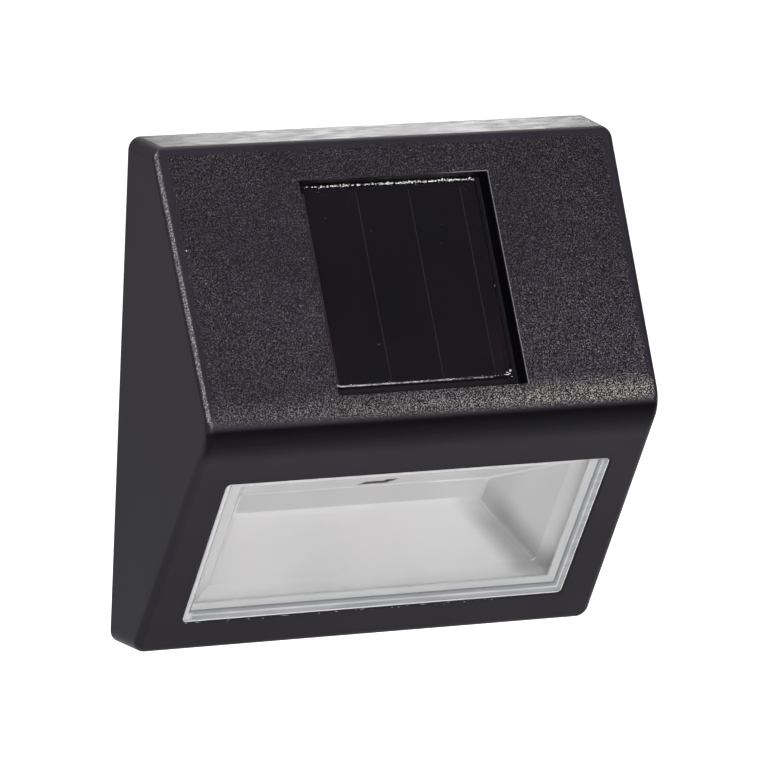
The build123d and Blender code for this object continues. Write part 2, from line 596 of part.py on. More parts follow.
def lens_seal():
    ring = lens_outline(-LENS_FLANGE_WIDTH) - lens_outline(0)
    return slope_slab(LOWER, ring, WALL, LENS_FLANGE_FRONT)


def well_edge(mouth, back, depth, grow):
    """Where one side of the funnel lies at a depth, moved out by `grow` square to that side."""
    lean = (mouth - back) / (WELL_DEPTH - MOUTH_DEPTH)
    out = 1 if mouth > MOUTH_BOTTOM else -1
    return mouth - lean * (depth - MOUTH_DEPTH) + out * grow * hypot(1, lean)


def well_section(depth, grow):
    """The funnel's rectangle at a depth, on the lower slope."""
    half = well_edge(MOUTH_HALF_WIDTH, BACK_HALF_WIDTH, depth, grow)
    top = well_edge(MOUTH_TOP, BACK_TOP, depth, grow)
    bottom = well_edge(MOUTH_BOTTOM, BACK_BOTTOM, depth, grow)
    return LOWER.offset(-depth) * Pos(0, (top + bottom) / 2) * Rectangle(2 * half, top - bottom)


def well_cavity():
    """The funnel's inside, with rounded inner corners."""
    form = loft([well_section(WELL_DEPTH, 0), well_section(MOUTH_DEPTH - WELD, 0)], ruled=True)
    mouth = LOWER.offset(WELD - MOUTH_DEPTH)
    inner = form.edges().filter_by(lambda e: abs(mouth.to_local_coords(e.center()).Z) > WELD)
    return fillet(inner, WELL_RADIUS)


def lip_bevel():
    """The sloping rim from the front lip down to the funnel's mouth."""
    front = LENS_BACK + LIP_CLEARANCE
    edge = LENS_BORDER + LIP_CLEARANCE + LIP_WIDTH
    outer = LOWER.offset(-front) * Pos(0, WINDOW_MIDDLE) * Rectangle(WINDOW_WIDTH - 2 * edge,
                                                                    WINDOW_HEIGHT - 2 * edge)
    return loft([well_section(MOUTH_DEPTH, 0), outer], ruled=True)


def reflector():
    """The white funnel with its lip, flange, two screw ears and the board's clips."""
    ears = ear_circles(EAR_RADIUS)
    ears += Sketch() + [Pos(x, (EAR_RISE + WINDOW_TOP) / 2) * Rectangle(2 * EAR_RADIUS, EAR_RISE - WINDOW_TOP)
                        for x in (-EAR_X, EAR_X)]
    body = slope_slab(LOWER, lens_outline(-LENS_FLANGE_WIDTH), LENS_FLANGE_BACK, FLANGE_BACK)
    body += slope_slab(LOWER, ears, LENS_FLANGE_BACK, FLANGE_BACK)
    lip = lens_outline(LENS_BORDER + LIP_CLEARANCE)
    body += slope_slab(LOWER, lip, LENS_BACK + LIP_CLEARANCE, FLANGE_BACK)
    funnel = [well_section(WELL_DEPTH + WELL_WALL, WELL_WALL), well_section(FLANGE_BACK - WELD, WELL_WALL)]
    body += loft(funnel, ruled=True)
    body += board_clips()
    body -= well_cavity()
    body -= lip_bevel()
    body -= slope_slab(LOWER, ear_circles(EAR_SCREW_RADIUS + HOLE_GAP), LENS_FLANGE_BACK, FLANGE_BACK)
    window = Pos(0, LED_ALONG) * Rectangle(LED_WINDOW, LED_WINDOW)
    return body - extrude(CEILING * window, 2 * WELL_WALL, both=True)


def reflector_screws():
    screws = []
    for x in (-EAR_X, EAR_X):
        seat = LOWER.from_local_coords(Vector(x, EAR_RISE, -FLANGE_BACK))
        place = Plane(origin=seat, x_dir=(1, 0, 0), z_dir=-LOWER.z_dir)
        screws.append(place * screw(EAR_HEAD_RADIUS, EAR_HEAD_HEIGHT, EAR_SCREW_RADIUS, EAR_SCREW_LENGTH))
    return Compound(screws)


# ---- circuit board, in the frame of the well's ceiling ------------------------------------------------
def ceiling_plane():
    """The ceiling's outer face: X across, Y back along it from the funnel's mouth, Z up off it."""
    front = LOWER.from_local_coords(Vector(0, MOUTH_TOP, -MOUTH_DEPTH))
    back = LOWER.from_local_coords(Vector(0, BACK_TOP, -WELL_DEPTH))
    along = (back - front).normalized()
    up = Vector(1, 0, 0).cross(along)
    return Plane(origin=front + up * WELL_WALL, x_dir=(1, 0, 0), z_dir=up)


CEILING = ceiling_plane()
BOARD_TOP = BOARD_STANDOFF + BOARD_THICKNESS
BOARD_MIDDLE = BOARD_FRONT + BOARD_DEPTH / 2


def on_board(x, along, height=0.0):
    """A place over the board's upper face."""
    return CEILING * Pos(x, along, BOARD_TOP + height)


def board_clips():
    """Two pads the board lies on and four hooked clips at its long edges."""
    pads = Part()
    for x in (PAD_INSET - BOARD_WIDTH / 2, BOARD_WIDTH / 2 - PAD_INSET):
        pads += CEILING * Pos(x, BOARD_MIDDLE, (BOARD_STANDOFF - WELD) / 2) * Box(
            PAD_WIDTH, BOARD_DEPTH, BOARD_STANDOFF + WELD)
    foot = -WELL_WALL / 2
    hook = BOARD_TOP + CLIP_GAP
    top = hook + CLIP_THICKNESS
    for x in (CLIP_INSET - BOARD_WIDTH / 2, BOARD_WIDTH / 2 - CLIP_INSET):
        for side in (-1, 1):
            edge = BOARD_MIDDLE + side * (BOARD_DEPTH / 2 + CLIP_GAP)
            stem = Pos(x, edge + side * CLIP_THICKNESS / 2, (foot + top) / 2)
            reach = Pos(x, edge + side * (CLIP_THICKNESS - CLIP_REACH) / 2, (hook + top) / 2)
            pads += CEILING * stem * Box(CLIP_WIDTH, CLIP_THICKNESS, top - foot)
            pads += CEILING * reach * Box(CLIP_WIDTH, CLIP_THICKNESS + CLIP_REACH, CLIP_THICKNESS)
    return pads


def circuit_board():
    outline = Pos(0, BOARD_MIDDLE) * rounded(BOARD_WIDTH, BOARD_DEPTH, BOARD_CORNER_RADIUS)
    return extrude(CEILING.offset(BOARD_STANDOFF) * outline, BOARD_THICKNESS)


def led_package():
    """The lamp's square body, its dished face towards the well."""
    body = CEILING * Pos(0, LED_ALONG, BOARD_STANDOFF - LED_HEIGHT / 2) * Box(LED_SIZE, LED_SIZE, LED_HEIGHT)
    return body - led_phosphor()


def led_phosphor():
    """The yellow disc in the lamp's face."""
    face = CEILING.offset(BOARD_STANDOFF - LED_HEIGHT) * Pos(0, LED_ALONG)
    return extrude(face * Circle(PHOSPHOR_RADIUS), PHOSPHOR_DEPTH)


def driver_chip():
    """A small chip with bent legs along both sides."""
    chip = Pos(0, 0, CHIP_HEIGHT / 2) * Box(CHIP_LENGTH, CHIP_WIDTH, CHIP_HEIGHT)
    chip = chamfer(chip.faces().sort_by(Axis.Z)[-1].edges(), CHIP_BEVEL)
    for index in range(CHIP_LEG_COUNT):
        x = (index - (CHIP_LEG_COUNT - 1) / 2) * CHIP_LEG_PITCH
        for side in (-1, 1):
            foot = Pos(x, side * (CHIP_WIDTH + CHIP_LEG_REACH) / 2, CHIP_LEG_THICKNESS / 2)
            chip += foot * Box(CHIP_LEG_WIDTH, CHIP_LEG_REACH, CHIP_LEG_THICKNESS)
            riser = Pos(x, side * (CHIP_WIDTH + CHIP_LEG_THICKNESS) / 2, CHIP_HEIGHT / 4)
            chip += riser * Box(CHIP_LEG_WIDTH, CHIP_LEG_THICKNESS, CHIP_HEIGHT / 2)
    return on_board(CHIP_X, CHIP_ALONG) * chip


def inductor():
    """An axial coil with a waisted body, on its two bent leads."""
    half = COIL_LENGTH / 2
    neck = COIL_NECK_LENGTH / 2
    step = COIL_RADIUS - COIL_NECK_RADIUS
    profile = Polygon((-half, 0), (-half, COIL_RADIUS), (-neck - step, COIL_RADIUS),
                      (-neck, COIL_NECK_RADIUS), (neck, COIL_NECK_RADIUS),
                      (neck + step, COIL_RADIUS), (half, COIL_RADIUS), (half, 0), align=None)
    body = Pos(0, 0, COIL_RADIUS) * revolve(profile, Axis.X)
    for side in (-1, 1):
        end = side * (half + COIL_LEAD_REACH)
        lead = Pos(side * (half + COIL_LEAD_REACH / 2), 0, COIL_RADIUS) * Rot(0, 90, 0)
        body += lead * Cylinder(COIL_LEAD_RADIUS, COIL_LEAD_REACH + 2 * COIL_LEAD_RADIUS)
        body += Pos(end, 0, COIL_RADIUS / 2) * Cylinder(COIL_LEAD_RADIUS, COIL_RADIUS)
    return on_board(COIL_X, COIL_ALONG) * body


def capacitors():
    """Two small upright cans, each on its round foot."""
    cans = []
    for along in CAPACITOR_ALONGS:
        can = Pos(0, 0, CAPACITOR_HEIGHT / 2) * Cylinder(CAPACITOR_RADIUS, CAPACITOR_HEIGHT)
        can = chamfer(can.edges().group_by(Axis.Z)[-1], CAPACITOR_BEVEL)
        cans.append(on_board(BOARD_WIDTH / 2 - CAPACITOR_INSET, along) * can)
    return Compound(cans)


# ---- solar panel --------------------------------------------------------------------------------------
def panel_sealant():
    ring = panel_frame_outline(SEALANT_WIDTH) - panel_frame_outline(0)
    return slope_slab(UPPER, ring, FRAME_DEPTH, PANEL_BOARD_FRONT)


def panel_board():
    return slope_slab(UPPER, panel_frame_outline(SEALANT_WIDTH), PANEL_BOARD_FRONT, PANEL_BOARD_BACK)


def resin_outline(inset=0.0):
    """The resin's edge, which stops short of the window, most of all at the bottom."""
    top = PANEL_WINDOW_TOP - RESIN_TOP_GAP - inset
    bottom = PANEL_WINDOW_BOTTOM + RESIN_BOTTOM_GAP + inset
    width = PANEL_WINDOW_WIDTH - 2 * (RESIN_SIDE_GAP + inset)
    return Pos(0, (top + bottom) / 2) * rounded(width, top - bottom, RESIN_CORNER_RADIUS - inset / 2)


def solar_cells():
    """Upright strips of dark film, a hairline apart."""
    top = PANEL_WINDOW_TOP - RESIN_TOP_GAP - RESIN_EDGE_RADIUS
    bottom = PANEL_WINDOW_BOTTOM + RESIN_BOTTOM_GAP + RESIN_EDGE_RADIUS
    end = PANEL_WINDOW_WIDTH / 2 - RESIN_SIDE_GAP - RESIN_EDGE_RADIUS
    strips = []
    for index in range(STRIP_COUNT):
        left = STRIP_LEFT + index * STRIP_PITCH
        right = min(left + STRIP_PITCH - STRIP_GAP, end)
        outline = Pos((left + right) / 2, (top + bottom) / 2) * Rectangle(right - left, top - bottom)
        strips.append(slope_slab(UPPER, outline, PANEL_BOARD_FRONT - CELL_THICKNESS, PANEL_BOARD_FRONT))
    return Compound(strips)


def panel_resin():
    """The glossy resin over the cells, its front edge rounded like a poured surface."""
    body = slope_slab(UPPER, resin_outline(), RESIN_FACE, PANEL_BOARD_FRONT)
    face = body.faces().filter_by(lambda f: (f.normal_at() - UPPER.z_dir).length < 0.01)
    body = fillet(face.edges(), RESIN_EDGE_RADIUS)
    return body - solar_cells()


# ---- battery and its contacts -------------------------------------------------------------------------
def bay_place(x=0.0):
    """A frame on the cell's axis: its Z runs along the bay towards the positive end."""
    return Plane(origin=(x, -CELL_AXIS, BAY_Z), x_dir=(0, 0, 1), z_dir=(1, 0, 0))


CAN_START = -BAY_LENGTH / 2 + CONTACT_THICKNESS + SPRING_LENGTH
CAN_RADIUS = CELL_RADIUS - SLEEVE_THICKNESS


def battery_can():
    """The cell's steel can with its raised end."""
    neck = CAN_RADIUS - CAN_GROOVE
    shoulder = BODY_LENGTH - 2 * CAN_GROOVE
    end = BODY_LENGTH + NUB_LENGTH
    profile = Polygon((0, 0), (CAN_RADIUS, 0), (CAN_RADIUS, shoulder), (neck, shoulder),
                      (neck - CAN_GROOVE, BODY_LENGTH), (NUB_RADIUS, BODY_LENGTH), (NUB_RADIUS, end),
                      (0, end), align=None)
    return bay_place(CAN_START) * revolve(Plane.XZ * profile, Axis.Z)


def battery_sleeve():
    """The printed film round the can."""
    ring = Circle(CELL_RADIUS) - Circle(CAN_RADIUS)
    return bay_place(CAN_START) * extrude(ring, BODY_LENGTH - 2 * CAN_GROOVE)


def contact(side):
    """A contact plate against the bay's end wall, with its solder tab through the bay's front."""
    x = side * (BAY_LENGTH / 2 - CONTACT_THICKNESS)
    low, high = sorted((x, side * BAY_LENGTH / 2))
    near = CELL_AXIS - CONTACT_SIZE / 2
    plate = Pos((low + high) / 2, BAY_Z) * Rectangle(CONTACT_THICKNESS, CONTACT_SIZE)
    tab = Pos((low + high) / 2, BAY_Z) * Rectangle(CONTACT_THICKNESS, CONTACT_TAB_WIDTH)
    body = back_slab(plate, near, near + CONTACT_SIZE)
    return body + back_slab(tab, CELL_AXIS, BAY_FRONT + CONTACT_TAB_REACH)


def battery_spring():
    """A conical spring between the negative plate and the can."""
    quarter = pi / 2
    count = 4 * SPRING_TURNS
    rise = SPRING_LENGTH - 2 * SPRING_WIRE_RADIUS

    def point(step):
        share = step / count
        radius = SPRING_BASE_RADIUS + (SPRING_TIP_RADIUS - SPRING_BASE_RADIUS) * share
        return Vector(radius * cos(step * quarter), radius * sin(step * quarter),
                      SPRING_WIRE_RADIUS + rise * share)

    arcs = [ThreePointArc(point(i), point(i + 0.5), point(i + 1)) for i in range(count)]
    path = Wire([arc.edge() for arc in arcs])
    start = Plane(origin=path @ 0, z_dir=path % 0)
    coil = sweep(start * RegularPolygon(SPRING_WIRE_RADIUS, SPRING_WIRE_SIDES), path=path)
    return bay_place(-BAY_LENGTH / 2 + CONTACT_THICKNESS) * coil


# ---- battery door ---------------------------------------------------------------------------------------
def battery_door():
    """The door plate with two stiffening ribs and two sunk screw holes."""
    body = back_slab(door_outline(0), DOOR_SINK, DOOR_INNER)
    rib_z = BAY_HEIGHT / 2 - DOOR_RIB_GAP - DOOR_RIB_THICKNESS / 2
    for side in (-1, 1):
        rib = Pos(0, BAY_Z + side * rib_z) * Rectangle(BAY_LENGTH - 2 * DOOR_RIB_END, DOOR_RIB_THICKNESS)
        body += back_slab(rib, DOOR_INNER - WELD, DOOR_INNER + DOOR_RIB_HEIGHT)
    seat = DOOR_SINK + DOOR_SCREW_HEAD_HEIGHT
    for x in (-DOOR_SCREW_X, DOOR_SCREW_X):
        body -= back_slab(Pos(x, BAY_Z) * Circle(DOOR_SCREW_HEAD_RADIUS + HOLE_GAP / 2), DOOR_SINK, seat)
        body -= back_slab(Pos(x, BAY_Z) * Circle(DOOR_SCREW_RADIUS + HOLE_GAP / 2), seat, DOOR_INNER)
    return body


def door_seal():
    """The ring the door presses against the recess round the bay."""
    length = BAY_LENGTH + 2 * DOOR_SEAL_GAP
    height = BAY_HEIGHT + 2 * DOOR_SEAL_GAP
    ring = Rectangle(length + 2 * DOOR_SEAL_WIDTH, height + 2 * DOOR_SEAL_WIDTH) - Rectangle(length, height)
    return back_slab(Pos(0, BAY_Z) * ring, DOOR_INNER, DOOR_SEAT)


def door_screws():
    seat = DOOR_SINK + DOOR_SCREW_HEAD_HEIGHT
    return Compound([back_screw(x, BAY_Z, seat, DOOR_SCREW_HEAD_RADIUS, DOOR_SCREW_HEAD_HEIGHT,
                                DOOR_SCREW_RADIUS, DOOR_SCREW_LENGTH) for x in (-DOOR_SCREW_X, DOOR_SCREW_X)])


# ---- slide switch -----------------------------------------------------------------------------------------
SWITCH_FACE = COVER_THICKNESS + SWITCH_FRAME_THICKNESS
SWITCH_BACK = SWITCH_FACE + SWITCH_BODY_DEPTH
KNOB_FOOT_TOP = SWITCH_FACE + KNOB_GAP


def switch_frame():
    """The switch's metal face plate, with its peg holes and the knob's slot."""
    outline = Rectangle(SWITCH_FRAME_LENGTH, SWITCH_BODY_HEIGHT)
    outline -= peg_circles(PEG_RADIUS + PILOT_GAP)
    outline -= knob_room(KNOB_GAP)
    return switch_place(outline, COVER_THICKNESS, SWITCH_FACE)


def foot_room(gap):
    """The outline of the knob's foot over its whole travel."""
    return Pos(SWITCH_TRAVEL / 2, 0) * Rectangle(KNOB_FOOT_LENGTH + SWITCH_TRAVEL + 2 * gap,
                                                 2 * KNOB_WIDTH + 2 * gap)


def switch_body():
    """The switch's case, open towards the frame for the knob's foot."""
    case = switch_place(Rectangle(SWITCH_BODY_LENGTH, SWITCH_BODY_HEIGHT), SWITCH_FACE, SWITCH_BACK)
    floor = KNOB_FOOT_TOP + KNOB_FOOT_THICKNESS + KNOB_GAP
    return case - switch_place(foot_room(KNOB_GAP), SWITCH_FACE, floor)


def switch_knob():
    """The knob on its wider foot, at the end of its travel where the lamp is off."""
    stem = switch_place(Rectangle(KNOB_LENGTH, KNOB_WIDTH), KNOB_SINK, KNOB_FOOT_TOP + KNOB_FOOT_THICKNESS)
    foot = switch_place(Rectangle(KNOB_FOOT_LENGTH, 2 * KNOB_WIDTH), KNOB_FOOT_TOP,
                        KNOB_FOOT_TOP + KNOB_FOOT_THICKNESS)
    return stem + foot


def switch_pin_place(index):
    """The X and Z of one solder pin on the switch's back."""
    return SWITCH_X + (index - (PIN_COUNT - 1) / 2) * PIN_PITCH, SWITCH_Z


def switch_pins():
    pins = []
    for index in range(PIN_COUNT):
        x, z = switch_pin_place(index)
        outline = Pos(x, z) * Rectangle(PIN_WIDTH, PIN_THICKNESS)
        pins.append(back_slab(outline, SWITCH_BACK, SWITCH_BACK + PIN_LENGTH))
    return Compound(pins)


# ---- wires -------------------------------------------------------------------------------------------
def wire(points):
    """A round wire along straight runs joined by arcs as large as the runs allow."""
    radii = []
    for before, at, after in zip(points, points[1:], points[2:]):
        turn = radians((at - before).get_angle(after - at))
        radii.append(WIRE_SWEEP * min((at - before).length, (after - at).length) / tan(turn / 2))
    path = FilletPolyline(*points, radius=radii)
    start = Plane(origin=path @ 0, z_dir=path % 0)
    return sweep(start * RegularPolygon(WIRE_RADIUS, WIRE_SIDES), path=path)


def board_point(x, along, height=0.0):
    return CEILING.from_local_coords(Vector(x, along, BOARD_TOP + height))


def panel_wire(colour):
    """From the panel board's back down to the circuit board."""
    x, board_x = PANEL_WIRE_XS[colour]
    start = UPPER.from_local_coords(Vector(x, PANEL_WIRE_RISE, -PANEL_BOARD_BACK))
    out = start - UPPER.z_dir * WIRE_LEAD
    end = board_point(board_x, PANEL_WIRE_ALONG)
    over = board_point(board_x, PANEL_WIRE_ALONG, WIRE_DROP)
    sag = PANEL_BOARD_BACK + WIRE_SAG
    low = UPPER.from_local_coords(Vector((x + board_x) / 2, PANEL_WIRE_RISE / 2, -sag))
    return wire([start, out, low, over, end])


def battery_wire(colour, side):
    """From a contact's solder tab down to the circuit board."""
    board_x = side * (BOARD_WIDTH / 2 - BATTERY_WIRE_INSETS[colour])
    tab = Vector(contact_tab_x(side), -BAY_FRONT - CONTACT_TAB_REACH, BAY_Z)
    out = tab - Vector(0, WIRE_LEAD, 0)
    low = out - Vector(side, 0, BATTERY_WIRE_DROP)
    over = board_point(board_x, BATTERY_WIRE_ALONG, WIRE_DROP)
    return wire([tab, out, low, over, board_point(board_x, BATTERY_WIRE_ALONG)])


def switch_wires():
    """Two short wires from the switch's pins to the circuit board."""
    wires = []
    for index, (inset, along) in enumerate(zip(SWITCH_WIRE_INSETS, SWITCH_WIRE_ALONGS)):
        board_x = inset - BOARD_WIDTH / 2
        x, z = switch_pin_place(index)
        pin = Vector(x, -SWITCH_BACK - PIN_LENGTH, z)
        out = pin - Vector(0, WIRE_LEAD, 0)
        over = board_point(board_x, along, WIRE_DROP)
        wires.append(wire([pin, out, over, board_point(board_x, along)]))
    return Compound(wires)


PARTS = {
    "front_housing": front_housing,
    "back_cover": back_cover,
    "cover_gasket": cover_gasket,
    "cover_screws": cover_screws,
    "lens": lens,
    "lens_seal": lens_seal,
    "reflector": reflector,
    "reflector_screws": reflector_screws,
    "circuit_board": circuit_board,
    "led_package": led_package,
    "led_phosphor": led_phosphor,
    "driver_chip": driver_chip,
    "inductor": inductor,
    "capacitors": capacitors,
    "panel_board": panel_board,
    "panel_sealant": panel_sealant,
    "solar_cells": solar_cells,
    "panel_resin": panel_resin,
    "battery_can": battery_can,
    "battery_sleeve": battery_sleeve,
    "positive_contact": lambda: contact(1),
    "negative_contact": lambda: contact(-1),
    "battery_spring": battery_spring,
    "battery_door": battery_door,
    "door_seal": door_seal,
    "door_screws": door_screws,
    "switch_frame": switch_frame,
    "switch_body": switch_body,
    "switch_knob": switch_knob,
    "switch_pins": switch_pins,
    "panel_wire_red": lambda: panel_wire("red"),
    "panel_wire_black": lambda: panel_wire("black"),
    "battery_wire_red": lambda: battery_wire("red", 1),
    "battery_wire_black": lambda: battery_wire("black", -1),
    "switch_wires": switch_wires,
}

os.makedirs("parts", exist_ok=True)
for name, build in PARTS.items():
    export_step(build(), f"parts/{name}.step")
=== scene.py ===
"""Solar fence light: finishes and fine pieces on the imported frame.

Everything is in metres in the part's own frame: +X right, -Y out of the fence, +Z up, with the
origin at the middle of the back face.
"""

import logging
import math
import random
from dataclasses import dataclass
from enum import Enum
from typing import Any

import bmesh
import bpy
from mathutils import Matrix, Vector


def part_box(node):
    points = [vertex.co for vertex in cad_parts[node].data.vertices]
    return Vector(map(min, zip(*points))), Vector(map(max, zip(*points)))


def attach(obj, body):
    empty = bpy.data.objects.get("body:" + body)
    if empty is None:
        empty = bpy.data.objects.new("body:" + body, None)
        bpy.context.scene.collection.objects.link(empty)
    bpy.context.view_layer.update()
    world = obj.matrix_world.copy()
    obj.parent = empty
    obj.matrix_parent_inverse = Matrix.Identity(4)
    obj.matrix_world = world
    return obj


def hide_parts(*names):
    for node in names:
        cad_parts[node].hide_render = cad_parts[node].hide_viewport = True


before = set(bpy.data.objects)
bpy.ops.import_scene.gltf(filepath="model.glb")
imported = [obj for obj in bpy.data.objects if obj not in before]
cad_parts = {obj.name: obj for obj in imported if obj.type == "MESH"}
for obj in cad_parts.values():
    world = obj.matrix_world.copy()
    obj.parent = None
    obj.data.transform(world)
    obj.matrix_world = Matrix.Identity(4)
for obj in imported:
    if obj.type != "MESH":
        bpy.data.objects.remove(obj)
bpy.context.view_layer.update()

MM = 0.001
log = logging.getLogger("fence_light")

Colour = tuple[float, float, float]
Place = tuple[float, float, float]
Span = tuple[float, float]      # where a smooth step starts and ends

CLOUDY: Span = (0.3, 0.7)       # the step that turns noise into soft clouds
STREAKY: Span = (0.35, 0.7)     # the step that turns it into streaks


class Slope(Enum):
    """The two front slopes of the wedge, which would meet in a level line."""

    UPPER = 1
    LOWER = -1

    @property
    def lean(self) -> float:
        """The angle between a slope and the back face."""
        return math.atan2(Wedge.ridge_depth - Wedge.rim_depth, Wedge.half_height)

    @property
    def rise(self) -> Vector:
        """The direction up along the slope."""
        return Vector((0, self.value * math.sin(self.lean), math.cos(self.lean)))

    @property
    def inward(self) -> Vector:
        """The direction square into the slope."""
        return Vector((0, math.cos(self.lean), -self.value * math.sin(self.lean)))

    def place(self, x: float, rise: float, depth: float = 0.0) -> Vector:
        """A point on or under the slope.

        Args:
            x: How far right of the middle, in metres.
            rise: How far up the slope from the line where the slopes meet.
            depth: How far under the outer skin.

        Returns:
            The point in the part's frame.
        """
        return Vector(Wedge.ridge) + Vector((x, 0, 0)) + self.rise * rise + self.inward * depth


@dataclass(frozen=True)
class Wedge:
    """The housing's main sizes, which the places on its slopes follow from."""

    half_height: float = 50 * MM
    half_width: float = 50 * MM
    rim_depth: float = 10 * MM
    ridge_depth: float = 38.2 * MM
    ridge: Place = (0, -ridge_depth, 0)
    slope_length: float = math.hypot(half_height, ridge_depth - rim_depth)


# ---- shader writing -----------------------------------------------------------------------------
class Flow:
    """An output socket of a shader node. Arithmetic on it adds Math nodes."""

    def __init__(self, shader: "Shader", socket: bpy.types.NodeSocket) -> None:
        """Wraps a socket.

        Args:
            shader: The shader whose tree the socket is in.
            socket: The output socket.
        """
        self.shader = shader
        self.socket = socket

    def maths(self, operation: str, *values: "Flow | float") -> "Flow":
        """One Math node.

        Args:
            operation: The node's operation.
            values: Its inputs in order.

        Returns:
            The node's result.
        """
        return self.shader.node("ShaderNodeMath", {"operation": operation}, dict(enumerate(values)))

    def __add__(self, other: "Flow | float") -> "Flow":
        """self + other."""
        return self.maths("ADD", self, other)

    def __sub__(self, other: "Flow | float") -> "Flow":
        """self - other."""
        return self.maths("SUBTRACT", self, other)

    def __rsub__(self, other: float) -> "Flow":
        """other - self."""
        return self.maths("SUBTRACT", other, self)

    def __mul__(self, other: "Flow | float") -> "Flow":
        """self * other."""
        return self.maths("MULTIPLY", self, other)

    def __truediv__(self, other: "Flow | float") -> "Flow":
        """self / other."""
        return self.maths("DIVIDE", self, other)

    __radd__ = __add__
    __rmul__ = __mul__

    def __abs__(self) -> "Flow":
        """The size of self, whatever its sign."""
        return self.maths("ABSOLUTE", self)

    def least(self, other: "Flow | float") -> "Flow":
        """The smaller of the two."""
        return self.maths("MINIMUM", self, other)

    def most(self, other: "Flow | float") -> "Flow":
        """The larger of the two."""
        return self.maths("MAXIMUM", self, other)

    def off_middle(self) -> "Flow":
        """How far self lies from the middle of its whole step, for lines that repeat."""
        return abs(self.maths("FRACT", self) - 0.5)

    def ramp(self, low: float, high: float) -> "Flow":
        """A smooth step.

        Args:
            low: Where the step starts, as 0.
            high: Where it ends, as 1. It may be below low, for a falling step.

        Returns:
            A value from 0 to 1.
        """
        return self.shader.node("ShaderNodeMapRange", {"interpolation_type": "SMOOTHSTEP"},
                                {"Value": self, "From Min": low, "From Max": high})

    def band(self, start: float, end: float, soft: float) -> "Flow":
        """1 between start and end and 0 outside, with edges twice as wide as soft."""
        return self.ramp(start - soft, start + soft) * self.ramp(end + soft, end - soft)


